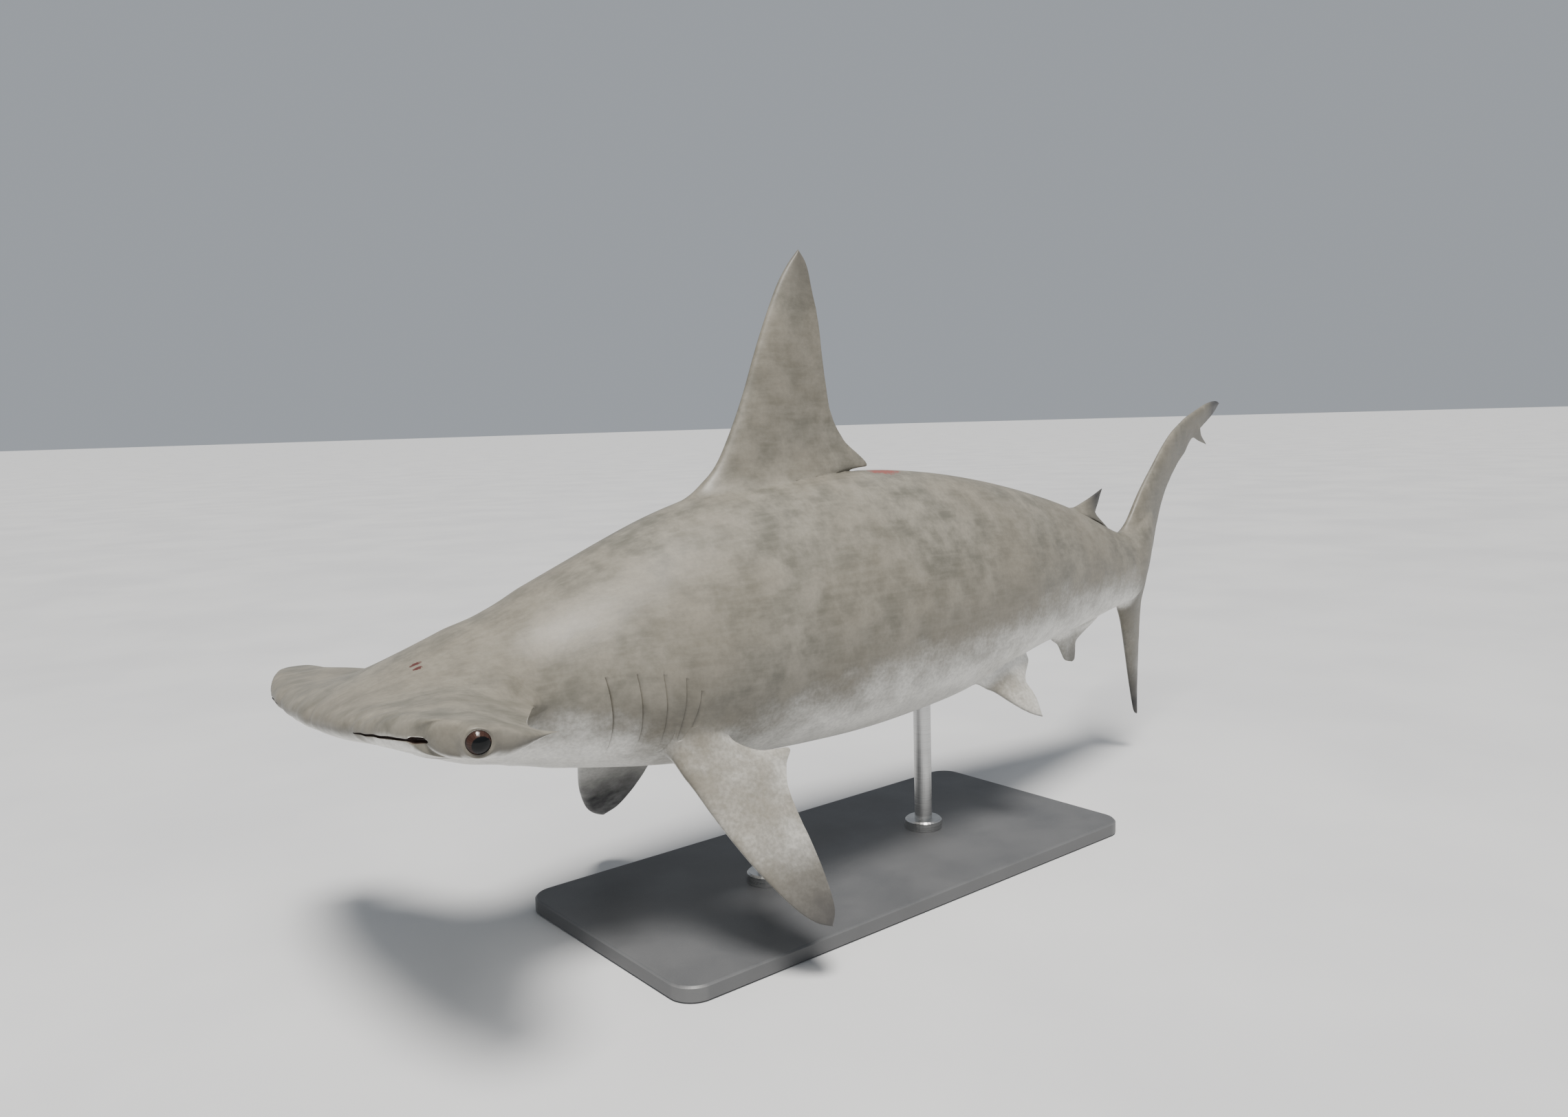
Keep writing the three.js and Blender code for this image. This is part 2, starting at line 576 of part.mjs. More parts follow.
// A ribbon of one section, swept along a path over the skin; sections are [back, out] in millimetres
function ribbon(path, section, taper) {
  const points = path.map(({ spot }) => new THREE.Vector3(...spot));
  const rows = points.map((point, i) => {
    const ahead = points[Math.min(i + 1, points.length - 1)];
    const behind = points[Math.max(i - 1, 0)];
    const along = new THREE.Vector3().subVectors(ahead, behind).normalize();
    const out = new THREE.Vector3(...path[i].normal);
    const side = new THREE.Vector3().crossVectors(along, out).normalize();
    const size = taper(i / (points.length - 1));
    return section.map(([s, o]) => {
      const shift = side.clone().multiplyScalar(s * size).addScaledVector(out, o * size);
      return point.clone().add(shift).toArray();
    });
  });
  const triangles = [];
  rowsToTriangles(rows, true, triangles);
  capFan(rows[0], triangles);
  capFan([...rows[rows.length - 1]].reverse(), triangles);
  return solid(geometryFrom(triangles));
}

// Spot and outward normal of a surface function of two values, at one place
function onSurface(surface, a, b, outward) {
  const step = 0.002;
  const spot = place(surface(a, b));
  const p = new THREE.Vector3(...spot);
  const alongA = new THREE.Vector3(...place(surface(a + step, b))).sub(p);
  const alongB = new THREE.Vector3(...place(surface(a, b + step))).sub(p);
  const normal = new THREE.Vector3().crossVectors(alongA, alongB).normalize();
  const sense = Math.sign(normal.dot(new THREE.Vector3(...outward)));
  return { spot, normal: normal.multiplyScalar(sense).toArray() };
}

const POINTED = (f) => Math.max(Math.sin(Math.PI * f), 0) ** 0.45 + 0.04;

// Flank at a station and a height
function flankAt(side) {
  return (t, z) => {
    const { back, belly, half, level } = bodyProfile(t);
    const above = z > level;
    const exponent = above ? BACK_EXPONENT : BELLY_EXPONENT;
    const height = above ? back - level : level - belly;
    const share = Math.max(1 - Math.abs((z - level) / height) ** exponent, 0) ** (1 / exponent);
    return [t, side * half * share, z];
  };
}

// Gill slits: station and height of the upper end, then of the lower end
const GILL_SLITS = [
  [0.1368, -0.0030, 0.1414, -0.0450],
  [0.1538, -0.0030, 0.1576, -0.0465],
  [0.1690, -0.0045, 0.1716, -0.0495],
  [0.1826, -0.0080, 0.1800, -0.0485],
  [0.1922, -0.0160, 0.1868, -0.0430],
];
const GILL_BOW = 0.0008;
const GILL_STEPS = 5;
const GILL_CUT = [[0.4, 7], [18, 7], [15, -0.6], [2.6, -3.6], [-5, -9], [-8, -8]];

function gillPath([tTop, zTop, tBottom, zBottom], side) {
  const path = [];
  for (let i = 0; i <= GILL_STEPS; i++) {
    const f = i / GILL_STEPS;
    const t = tTop + (tBottom - tTop) * f + GILL_BOW * Math.sin(Math.PI * f);
    const z = zTop + (zBottom - zTop) * f;
    path.push(onSurface(flankAt(side), t, z, [0, side, 0]));
  }
  return side < 0 ? path.reverse() : path;
}

function withGills(flesh) {
  let result = flesh;
  for (const slit of GILL_SLITS) {
    for (const side of [-1, 1]) {
      result = result.subtract(ribbon(gillPath(slit, side), GILL_CUT, POINTED));
    }
  }
  return result;
}

// Mouth: a crescent under the head, with lips
const MOUTH_FRONT_AT = 0.0540;
const MOUTH_CORNER_AT = 0.0880;
const MOUTH_HALF = 0.0340;
const MOUTH_STEPS = 12;
const MOUTH_CUT = [[-2.6, 6], [2.6, 6], [1.2, -8], [-1.2, -8]];
const LIP = [[-9.5, -3], [-6, 2.2], [6, 2.2], [9.5, -3]];

function mouthPath() {
  const path = [];
  for (let i = 0; i <= MOUTH_STEPS; i++) {
    const angle = Math.PI * (i / MOUTH_STEPS - 0.5);
    const y = MOUTH_HALF * Math.sin(angle);
    const t = MOUTH_CORNER_AT - (MOUTH_CORNER_AT - MOUTH_FRONT_AT) * Math.cos(angle);
    path.push(onSurface((a, b) => headAt(a, b, false), t, y, [0, 0, -1]));
  }
  return path;
}

// Nostrils: a groove along the front margin that opens in a slit near the end of the wing
const NOSTRIL_GROOVE = [0.50, 0.905];
const NOSTRIL_SLIT = [0.865, 0.950];
const NOSTRIL_STEPS = 5;
const GROOVE_CUT = [[-2.2, 5], [2.2, 5], [1.4, -4.5], [-1.4, -4.5]];
const NOSTRIL_CUT = [[-4.5, 6], [4.5, 6], [2.5, -9], [-2.5, -9]];

function marginPath([from, to], side) {
  const path = [];
  for (let i = 0; i <= NOSTRIL_STEPS; i++) {
    const v = side * (from + (to - from) * i / NOSTRIL_STEPS);
    const spot = place(headPoint(v, 0, true));
    const inner = place([headPoint(v, 0.2, true)[0], headPoint(v, 0.2, true)[1], headPoint(v, 0, true)[2]]);
    const normal = new THREE.Vector3(...spot).sub(new THREE.Vector3(...inner)).normalize();
    path.push({ spot, normal: normal.toArray() });
  }
  return path;
}

function withFace(flesh) {
  let result = flesh.add(ribbon(mouthPath(), LIP, POINTED));
  result = result.subtract(ribbon(mouthPath(), MOUTH_CUT, POINTED));
  for (const side of [-1, 1]) {
    result = result.subtract(ribbon(marginPath(NOSTRIL_GROOVE, side), GROOVE_CUT, POINTED));
    result = result.subtract(ribbon(marginPath(NOSTRIL_SLIT, side), NOSTRIL_CUT, POINTED));
  }
  return result;
}

// Regions: a box whose near face is a plane through a point, grown for the gap on request
function region(at, normal, [depth, width, length], grow) {
  const spot = place(at);
  const turn = heading(at[0]);
  const n = new THREE.Vector3(
    normal[0] * Math.cos(turn) - normal[1] * Math.sin(turn),
    normal[0] * Math.sin(turn) + normal[1] * Math.cos(turn),
    normal[2],
  ).normalize();
  const along = new THREE.Vector3(Math.cos(turn), Math.sin(turn), 0);
  along.addScaledVector(n, -along.dot(n)).normalize();
  const across = new THREE.Vector3().crossVectors(n, along);
  const box = new THREE.BoxGeometry(length + 2 * grow, width + 2 * grow, depth + 2 * grow);
  const centre = new THREE.Vector3(...spot).addScaledVector(n, depth / 2);
  const matrix = new THREE.Matrix4().makeBasis(along, across, n).setPosition(centre);
  return solid(box.applyMatrix4(matrix));
}

function slab(from, to) {
  const half = NODE_GAP / 2;
  const faces = [[from, 1], [to, -1]];
  return faces.map(([t, sense]) => {
    const [mx, my] = midline(t);
    const turn = heading(t);
    const reach = 3000;
    const box = new THREE.BoxGeometry(reach, reach, reach);
    box.translate(sense * (reach / 2 + half), 0, 0);
    box.rotateZ(turn);
    box.translate((mx - STAND_CENTRE_X) * TOTAL_LENGTH, my * TOTAL_LENGTH, AXIS_HEIGHT);
    return solid(box);
  }).reduce((a, b) => a.intersect(b));
}

function largest(manifold) {
  const pieces = manifold.decompose();
  return pieces.reduce((best, piece) => (piece.volume() > best.volume() ? piece : best));
}

const FIN_REGIONS = {
  first_dorsal_fin: [[0.31, 0, 0.1005], [-0.03, 0, 1], [420, 120, 420]],
  second_dorsal_fin: [[0.652, 0, 0.0462], [0.345, 0, 1], [120, 60, 240]],
  anal_fin: [[0.625, 0, -0.0475], [0.16, 0, -1], [120, 60, 220]],
  pectoral_fin_left: [[0.20, -0.0600, -0.0600], [-0.10, -0.61, -0.78], [400, 330, 420]],
  pectoral_fin_right: [[0.20, 0.0600, -0.0600], [-0.10, 0.61, -0.78], [400, 330, 420]],
  pelvic_fin_left: [[0.485, -0.0420, -0.0600], [0.10, -0.70, -0.70], [160, 160, 260]],
  pelvic_fin_right: [[0.485, 0.0420, -0.0600], [0.10, 0.70, -0.70], [160, 160, 260]],
  caudal_fin_lower_lobe: [[0.735, 0, -0.0400], [0, 0, -1], [400, 160, 260]],
};

const BODY_SLABS = {
  head: [-0.1, 0.105],
  neck_and_gills: [0.105, 0.232],
  chest: [0.232, 0.420],
  abdomen: [0.420, 0.565],
  tail_stem: [0.565, 0.715],
  caudal_fin_upper_lobe: [0.715, 1.1],
};

const nodes = {};

function buildFlesh() {
  let whole = headSolid().add(bodySolid());
  const fins = [FIRST_DORSAL, SECOND_DORSAL, ANAL, PELVIC, { ...PELVIC, mirror: true }, TAIL_UPPER,
    TAIL_END, TAIL_LOWER, pectoral({}), pectoral(RIGHT_PECTORAL)];
  for (const shape of fins) {
    whole = whole.add(fin(shape));
  }
  return withFace(withGills(whole));
}

const whole = buildFlesh();
let rest = whole;
for (const [name, [at, normal, size]] of Object.entries(FIN_REGIONS)) {
  nodes[name] = largest(whole.intersect(region(at, normal, size, 0)));
  rest = rest.subtract(region(at, normal, size, NODE_GAP));
}
for (const [name, [from, to]] of Object.entries(BODY_SLABS)) {
  nodes[name] = largest(rest.intersect(slab(from, to)));
}

// Eyes: balls at the ends of the wing, each in a ring of lids

function ball(spot, radius) {
  const sphere = new THREE.SphereGeometry(radius, 18, 12);
  sphere.translate(...spot);
  return solid(sphere);
}

function lidRing(spot, side) {
  const ring = new THREE.TorusGeometry(LID_RADIUS, LID_THICKNESS, 6, 20);
  ring.rotateX(Math.PI / 2);
  ring.translate(0, side * LID_OUT, 0);
  ring.rotateZ(heading(EYE_AT[0]) + side * EYE_TURN);
  ring.translate(...spot);
  return solid(ring);
}

for (const [name, side] of [['eye_left', -1], ['eye_right', 1]]) {
  const spot = place([EYE_AT[0], side * EYE_AT[1], EYE_AT[2]]);
  nodes[name] = ball(spot, EYE_RADIUS);
  nodes.head = nodes.head.add(lidRing(spot, side)).subtract(ball(spot, EYE_RADIUS + NODE_GAP));
}
nodes.head = largest(nodes.head);

// Stand
function baseSolid() {
  const x = BASE_LENGTH / 2;
  const y = BASE_WIDTH / 2;
  const r = BASE_CORNER_RADIUS;
  const outline = new THREE.Shape();
  outline.absarc(x - r, y - r, r, 0, Math.PI / 2);
  outline.absarc(-x + r, y - r, r, Math.PI / 2, Math.PI);
  outline.absarc(-x + r, -y + r, r, Math.PI, 1.5 * Math.PI);
  outline.absarc(x - r, -y + r, r, 1.5 * Math.PI, 2 * Math.PI);
  outline.closePath();
  const plate = new THREE.ExtrudeGeometry(outline, {
    depth: BASE_THICKNESS - 2 * BASE_CHAMFER,
    bevelThickness: BASE_CHAMFER,
    bevelSize: BASE_CHAMFER,
    bevelOffset: -BASE_CHAMFER,
    bevelSegments: 1,
    curveSegments: 8,
  });
  plate.translate(0, 0, BASE_CHAMFER);
  return solid(plate);
}

function rodSolid(t) {
  const [x, y] = place([t, 0, 0]);
  const floor = BASE_THICKNESS + NODE_GAP;
  const top = AXIS_HEIGHT;
  const profile = [
    new THREE.Vector2(0, floor),
    new THREE.Vector2(COLLAR_RADIUS, floor),
    new THREE.Vector2(COLLAR_RADIUS, floor + COLLAR_HEIGHT - COLLAR_CHAMFER),
    new THREE.Vector2(COLLAR_RADIUS - COLLAR_CHAMFER, floor + COLLAR_HEIGHT),
    new THREE.Vector2(ROD_RADIUS, floor + COLLAR_HEIGHT),
    new THREE.Vector2(ROD_RADIUS, top),
    new THREE.Vector2(0, top),
  ];
  const lathe = new THREE.LatheGeometry(profile, 32);
  lathe.rotateX(Math.PI / 2);
  lathe.translate(x, y, 0);
  return solid(lathe);
}

nodes.stand_base = baseSolid();
for (const [name, t] of [['stand_rod_front', FRONT_ROD_AT], ['stand_rod_rear', REAR_ROD_AT]]) {
  const lowered = whole.translate([0, 0, -NODE_GAP]);
  nodes[name] = largest(rodSolid(t).subtract(lowered));
}

// Named meshes
const SKIN = { color: 0x7d776c, roughness: 0.5, metalness: 0 };
const EYE = { color: 0x2a1c10, roughness: 0.12, metalness: 0 };
const STAND_PAINT = { color: 0x2b2c2e, roughness: 0.55, metalness: 0 };
const ROD_STEEL = { color: 0xa9abad, roughness: 0.3, metalness: 1 };

function finishOf(name) {
  if (name.startsWith('eye_')) {
    return EYE;
  }
  if (name === 'stand_base') {
    return STAND_PAINT;
  }
  return name.startsWith('stand_rod') ? ROD_STEEL : SKIN;
}

function meshFrom(name, manifold) {
  const { vertProperties, triVerts } = manifold.getMesh();
  const geometry = new THREE.BufferGeometry();
  geometry.setAttribute('position', new THREE.Float32BufferAttribute(vertProperties, 3));
  geometry.setIndex(new THREE.Uint32BufferAttribute(triVerts, 1));
  geometry.computeVertexNormals();
  const mesh = new THREE.Mesh(geometry, new THREE.MeshStandardMaterial(finishOf(name)));
  mesh.name = name;
  return mesh;
}

const group = new THREE.Group();
group.name = 'hammerhead_shark_model';
for (const [name, manifold] of Object.entries(nodes)) {
  group.add(meshFrom(name, manifold));
}

export default group;
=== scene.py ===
"""Looks of the hammerhead shark model: one seamless skin, finished eyes, stand, floor, light and camera."""
import math

import bmesh
import bpy
import numpy as np
from mathutils import Matrix, Vector, kdtree
from mathutils.bvhtree import BVHTree


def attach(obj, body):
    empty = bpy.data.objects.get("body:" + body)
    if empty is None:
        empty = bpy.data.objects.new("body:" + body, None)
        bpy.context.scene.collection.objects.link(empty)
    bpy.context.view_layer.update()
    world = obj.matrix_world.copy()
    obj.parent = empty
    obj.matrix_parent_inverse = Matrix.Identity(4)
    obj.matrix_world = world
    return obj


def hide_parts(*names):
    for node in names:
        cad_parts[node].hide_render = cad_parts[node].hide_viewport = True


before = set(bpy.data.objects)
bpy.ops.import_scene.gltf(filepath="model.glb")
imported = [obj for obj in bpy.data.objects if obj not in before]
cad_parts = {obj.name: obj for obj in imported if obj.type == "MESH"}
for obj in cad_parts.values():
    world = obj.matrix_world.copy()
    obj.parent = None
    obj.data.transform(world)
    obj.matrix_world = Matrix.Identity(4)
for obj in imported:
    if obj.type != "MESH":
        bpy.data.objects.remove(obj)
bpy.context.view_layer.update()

# Driving sizes: metres, and fractions of the total length for the shark's own frame (t, y, z)
TOTAL_LENGTH = 2.5
AXIS_HEIGHT = 0.45
STAND_CENTRE_AT = 0.355
MILLIMETRE = 0.001

# Bend of the body in plan, and roll of the head
BEND_PIVOT = 0.3298
BEND_BODY = 0.1226
BEND_TAIL_FROM = 0.4338
BEND_TAIL = 1.0947
BEND_HEAD_RIGID = 0.1011
HEAD_ROLL = math.radians(-3.9)
ROLL_FULL_UNTIL = 0.12
ROLL_NONE_FROM = 0.24

# Body stations: t, back height, belly height, half width
BODY_STATIONS = np.array([
    [0.000, 0.0000, -0.0140, 0.0600],
    [0.027, 0.0075, -0.0245, 0.0580],
    [0.047, 0.0160, -0.0340, 0.0560],
    [0.075, 0.0268, -0.0455, 0.0530],
    [0.105, 0.0380, -0.0540, 0.0515],
    [0.125, 0.0462, -0.0580, 0.0555],
    [0.150, 0.0567, -0.0625, 0.0620],
    [0.180, 0.0695, -0.0675, 0.0660],
    [0.210, 0.0810, -0.0715, 0.0680],
    [0.250, 0.0920, -0.0752, 0.0695],
    [0.300, 0.0970, -0.0775, 0.0700],
    [0.350, 0.0990, -0.0780, 0.0695],
    [0.400, 0.0982, -0.0752, 0.0670],
    [0.450, 0.0935, -0.0700, 0.0625],
    [0.500, 0.0855, -0.0590, 0.0560],
    [0.550, 0.0748, -0.0502, 0.0470],
    [0.600, 0.0618, -0.0450, 0.0375],
    [0.640, 0.0490, -0.0405, 0.0300],
    [0.675, 0.0362, -0.0362, 0.0248],
    [0.700, 0.0290, -0.0350, 0.0215],
    [0.715, 0.0310, -0.0330, 0.0190],
    [0.730, 0.0385, -0.0240, 0.0155],
    [0.745, 0.0470, -0.0060, 0.0115],
    [0.760, 0.0500, 0.0170, 0.0065],
])
PROFILE_SOFTNESS = 0.004
WIDEST_LEVEL = 0.45
BACK_EXPONENT = 1.8
BELLY_EXPONENT = 2.2
NECK_AT = 0.105
NECK_ROUND_LENGTH = 0.08
LOFT_FROM = 0.030
LOFT_TO = 0.760
SKULL_END = 0.111
LOFT_SINK = 0.15
LOFT_NARROW = 2.2
SINK_FROM = 0.097

# Hammer: plan and thickness of the wing, and the dome of the skull
HAMMER_FRONT_HALF = 0.1290
HAMMER_END_FROM = 0.30
HAMMER_MAX_HALF = 0.1490
HAMMER_REAR_HALF = 0.1310
HAMMER_ARCH = 0.0176
HAMMER_NOSE = -0.0015
HAMMER_REAR_AT = 0.0725
HAMMER_REAR_SWEEP = 0.018
HAMMER_REAR_HOLLOW = 0.0110
HAMMER_FILLET = 0.15
WING_HALF_THICKNESS = 0.0083
WING_LEVEL_FRONT = -0.0081
WING_LEVEL_SIDE = -0.0052
WING_LEVEL_SIDE_AT = 0.8
NECK_BLEND_FROM = 0.4
NECK_BLEND_ASIDE = 0.5
WING_REAR_DROP = 0.0065
WING_FRONT_ROUND = 0.17
WING_REAR_FROM = 0.45
WING_REAR_POWER = 1.25
WING_ROOT_POWER = 3
WING_ROOT_REACH = 0.12
WING_END_ROUND = 0.07
WING_TOP_PAD = 0.25
PAD_FROM = 0.1
PAD_RISE = 0.4
WING_VALLEY = 1.3
WING_VALLEY_AT = 0.76
WING_VALLEY_WIDTH = 0.12
SIDE_FROM = 0.4
LEFT_PAD_END = 0.80
LEFT_PAD_FADE = 0.12
LEFT_PAD_LOSS = 1.1
RIGHT_REAR_GAIN = 0.9
RIGHT_VALLEY_LOSS = 0.8
DOME_SPREAD_TOP = 0.060
DOME_SPREAD_UNDER = 0.040
DOME_SPREAD_POWER = 0.9
DOME_SPREAD_START = 0.25
DOME_PEAK_TOP = 1.6
DOME_PEAK_UNDER = 1.0
DOME_PEAK_START = 0.6
DOME_MARGIN = 6
DOME_MARGIN_NECK = 50
DOME_MARGIN_REACH = 0.04
DOME_FRONT_ROUND = 0.2
ARCH_POWER = 2.8
MEDIAN_NOTCH = (0, 0.0025, 0.045)
INNER_NOTCH = (0.45, 0.0016, 0.045)
NOSTRIL_NOTCH = (0.92, 0.0020, 0.030)
FOLD_COUNT = 52
FOLD_REACH = 0.00028
FOLD_HEIGHT = 0.055
FOLD_FADE = 0.30
FOLDS_FROM = 0.03
FOLDS_FULL = 0.08
FOLDS_TO = 0.84
FOLDS_FADE = 0.1

# Mesh fineness
BODY_STEP = 0.0018
BODY_COLUMNS = 208
NECK_COLUMNS = 44
WING_COLUMNS = 110
HEAD_ROWS = 120
FLARE_REACH = 0.014
NEARLY_NOTHING = 1e-3
WELD_DISTANCE = 3e-7


def smooth(x):
    """Soft step from 0 to 1."""
    k = np.clip(x, 0, 1)
    return k * k * (3 - 2 * k)


def heading(t):
    """Direction of the midline in plan, in radians from +X."""
    tail = np.maximum(t - BEND_TAIL_FROM, 0)
    return BEND_BODY * (np.maximum(t, BEND_HEAD_RIGID) - BEND_PIVOT) + BEND_TAIL * tail * tail


def midline_table():
    """Places of the midline in plan at close stations, the pivot kept on the axis."""
    t = np.linspace(-0.1, 1.1, 4801)
    middle = heading((t[1:] + t[:-1]) / 2)
    step = t[1] - t[0]
    x = np.concatenate([[0], np.cumsum(np.cos(middle)) * step])
    y = np.concatenate([[0], np.cumsum(np.sin(middle)) * step])
    x += BEND_PIVOT - np.interp(BEND_PIVOT, t, x)
    y -= np.interp(BEND_PIVOT, t, y)
    return t, x, y


LINE_T, LINE_X, LINE_Y = midline_table()
STAND_CENTRE_X = float(np.interp(STAND_CENTRE_AT, LINE_T, LINE_X))


def head_roll(t):
    """Roll of the body at a station."""
    return HEAD_ROLL * smooth((ROLL_NONE_FROM - t) / (ROLL_NONE_FROM - ROLL_FULL_UNTIL))


def place(points):
    """From the shark's straight frame to the part's frame, in metres."""
    t, y, z = np.moveaxis(np.asarray(points, float), -1, 0)
    roll = head_roll(t)
    yr = y * np.cos(roll) - z * np.sin(roll)
    zr = y * np.sin(roll) + z * np.cos(roll)
    turn = heading(t)
    x = np.interp(t, LINE_T, LINE_X) - np.sin(turn) * yr - STAND_CENTRE_X
    across = np.interp(t, LINE_T, LINE_Y) + np.cos(turn) * yr
    return np.stack([x * TOTAL_LENGTH, across * TOTAL_LENGTH, zr * TOTAL_LENGTH + AXIS_HEIGHT], -1)


def unplace(points):
    """From the part's frame back to the straight frame."""
    p = np.asarray(points, float) / TOTAL_LENGTH
    x = p[..., 0] + STAND_CENTRE_X
    y = p[..., 1]
    t = x.copy()
    for _ in range(12):
        turn = heading(t)
        off_x = x - np.interp(t, LINE_T, LINE_X)
        off_y = y - np.interp(t, LINE_T, LINE_Y)
        t = t + off_x * np.cos(turn) + off_y * np.sin(turn)
    turn = heading(t)
    yr = -off_x * np.sin(turn) + off_y * np.cos(turn)
    zr = p[..., 2] - AXIS_HEIGHT / TOTAL_LENGTH
    roll = head_roll(t)
    return np.stack([t, yr * np.cos(roll) + zr * np.sin(roll), zr * np.cos(roll) - yr * np.sin(roll)], -1)


def curve_at(points, u):
    """Catmull-Rom curve through the points at shares u of its length in points."""
    p = np.asarray(points, float)
    last = len(p) - 1
    at = np.clip(u, 0, 1) * last
    i = np.minimum(at.astype(int), last - 1)
    f = (at - i)[..., None]
    p0 = p[np.maximum(i - 1, 0)]
    p1 = p[i]
    p2 = p[i + 1]
    p3 = p[np.minimum(i + 2, last)]
    b = p2 - p0
    c = 2 * p0 - 5 * p1 + 4 * p2 - p3
    d = 3 * p1 - p0 - 3 * p2 + p3
    return 0.5 * (2 * p1 + b * f + c * f ** 2 + d * f ** 3)


def profile_table():
    """Back, belly and half width at close stations: a Hermite curve, lightly smoothed."""
    t = np.linspace(0, LOFT_TO, 1901)
    stations = BODY_STATIONS[:, 0]
    slopes = np.empty((len(stations), 3))
    slopes[1:-1] = (BODY_STATIONS[2:, 1:] - BODY_STATIONS[:-2, 1:]) / (stations[2:] - stations[:-2])[:, None]
    slopes[0] = (BODY_STATIONS[1, 1:] - BODY_STATIONS[0, 1:]) / (stations[1] - stations[0])
    slopes[-1] = (BODY_STATIONS[-1, 1:] - BODY_STATIONS[-2, 1:]) / (stations[-1] - stations[-2])
    i = np.clip(np.searchsorted(stations, t) - 1, 0, len(stations) - 2)
    width = (stations[i + 1] - stations[i])[:, None]
    f = (t - stations[i])[:, None] / width
    values = ((2 * f ** 3 - 3 * f ** 2 + 1) * BODY_STATIONS[i, 1:]
              + (f ** 3 - 2 * f ** 2 + f) * width * slopes[i]
              + (3 * f ** 2 - 2 * f ** 3) * BODY_STATIONS[i + 1, 1:]
              + (f ** 3 - f ** 2) * width * slopes[i + 1])
    reach = int(3 * PROFILE_SOFTNESS / (t[1] - t[0]))
    kernel = np.exp(-0.5 * (np.arange(-reach, reach + 1) * (t[1] - t[0]) / PROFILE_SOFTNESS) ** 2)
    kernel /= kernel.sum()
    padded = np.pad(values, ((reach, reach), (0, 0)), mode="reflect", reflect_type="odd")
    return t, np.stack([np.convolve(padded[:, k], kernel, "valid") for k in range(3)], -1)


PROFILE_T, PROFILE = profile_table()


def body_profile(t):
    """Back, belly, half width and widest level at a station."""
    back, belly, half = (np.interp(t, PROFILE_T, PROFILE[:, k]) for k in range(3))
    return back, belly, half, belly + WIDEST_LEVEL * (back - belly)


def link(piece):
    """Puts an object into the scene and hands it back."""
    bpy.context.scene.collection.objects.link(piece)
    return piece


def mesh_object(name, points, faces):
    """A mesh object from points and faces, welded, with its normals outward."""
    mesh = bpy.data.meshes.new(name)
    mesh.from_pydata(np.asarray(points).reshape(-1, 3).tolist(), [], faces)
    shell = bmesh.new()
    shell.from_mesh(mesh)
    bmesh.ops.remove_doubles(shell, verts=shell.verts, dist=WELD_DISTANCE)
    bmesh.ops.recalc_face_normals(shell, faces=shell.faces)
    if shell.calc_volume(signed=True) < 0:
        bmesh.ops.reverse_faces(shell, faces=shell.faces)
    shell.to_mesh(mesh)
    shell.free()
    return link(bpy.data.objects.new(name, mesh))


def grid_faces(rows, columns, closed, start=0):
    """Quads of a grid of points, row after row."""
    i, j = np.meshgrid(np.arange(rows - 1), np.arange(columns if closed else columns - 1), indexing="ij")
    a = start + i * columns + j
    b = start + i * columns + (j + 1) % columns
    return np.stack([a, b, b + columns, a + columns], -1).reshape(-1, 4).tolist()


def tube_object(name, rows):
    """A closed tube from rings of points, its two ends capped."""
    count, around = rows.shape[:2]
    faces = grid_faces(count, around, True)
    faces.append(list(range(around))[::-1])
    faces.append([(count - 1) * around + j for j in range(around)])
    return mesh_object(name, rows, faces)


def sheet_pair_object(name, upper, lower):
    """A closed form from an upper and a lower grid that share their rims."""
    rows, columns = upper.shape[:2]
    faces = grid_faces(rows, columns, False) + grid_faces(rows, columns, False, rows * columns)
    first = [[j, j + 1, rows * columns + j + 1, rows * columns + j] for j in range(columns - 1)]
    return mesh_object(name, np.concatenate([upper.reshape(-1, 3), lower.reshape(-1, 3)]), faces + first)


# Body
def body_loop(t):
    """Ring of points round the body at each station: a squircle with a fuller belly."""
    back, belly, half, level = (np.asarray(k)[:, None] for k in body_profile(t))
    t = t[:, None]
    ahead = np.maximum(NECK_AT - t, 0)
    half = half * (1 - LOFT_NARROW * ahead)
    angle = 2 * np.pi * np.arange(BODY_COLUMNS) / BODY_COLUMNS
    across = np.sin(angle)
    up = np.cos(angle)
    above = up > 0
    fullness = smooth((t - NECK_AT) / NECK_ROUND_LENGTH)
    exponent = 2 + (np.where(above, BACK_EXPONENT, BELLY_EXPONENT) - 2) * fullness
    reach = (np.abs(across) ** exponent + np.abs(up) ** exponent) ** (-1 / exponent)
    height = np.where(above, back - level, level - belly) - LOFT_SINK * ahead
    return np.stack(np.broadcast_arrays(t, half * reach * across, level + height * reach * up), -1)


def body_object():
    """Loft of the trunk from inside the head to the root of the tail fin."""
    stations = np.arange(LOFT_FROM, LOFT_TO, BODY_STEP)
    return tube_object("trunk", place(body_loop(stations)))


def body_section(t, z):
    """Widest level, half width, height and exponent of the trunk's section, above or below that level."""
    back, belly, half, level = body_profile(t)
    above = z > level
    height = np.where(above, back - level, level - belly)
    return level, half, height, np.where(above, BACK_EXPONENT, BELLY_EXPONENT)


def body_clearance(p):
    """Clearance of straight-frame points from the trunk's surface, below zero inside."""
    t, y, z = np.moveaxis(p, -1, 0)
    level, half, height, exponent = body_section(t, z)
    reach = (np.abs(y / half) ** exponent + np.abs((z - level) / height) ** exponent) ** (1 / exponent)
    return np.hypot(y, z - level) * (1 - 1 / np.maximum(reach, NEARLY_NOTHING))


# Head: two height fields over the plan of the hammer
NECK_HALF = float(body_profile(NECK_AT)[2])
NECK_SHARE = NECK_HALF / HAMMER_REAR_HALF
NECK_LEVEL = float(body_profile(NECK_AT)[3])


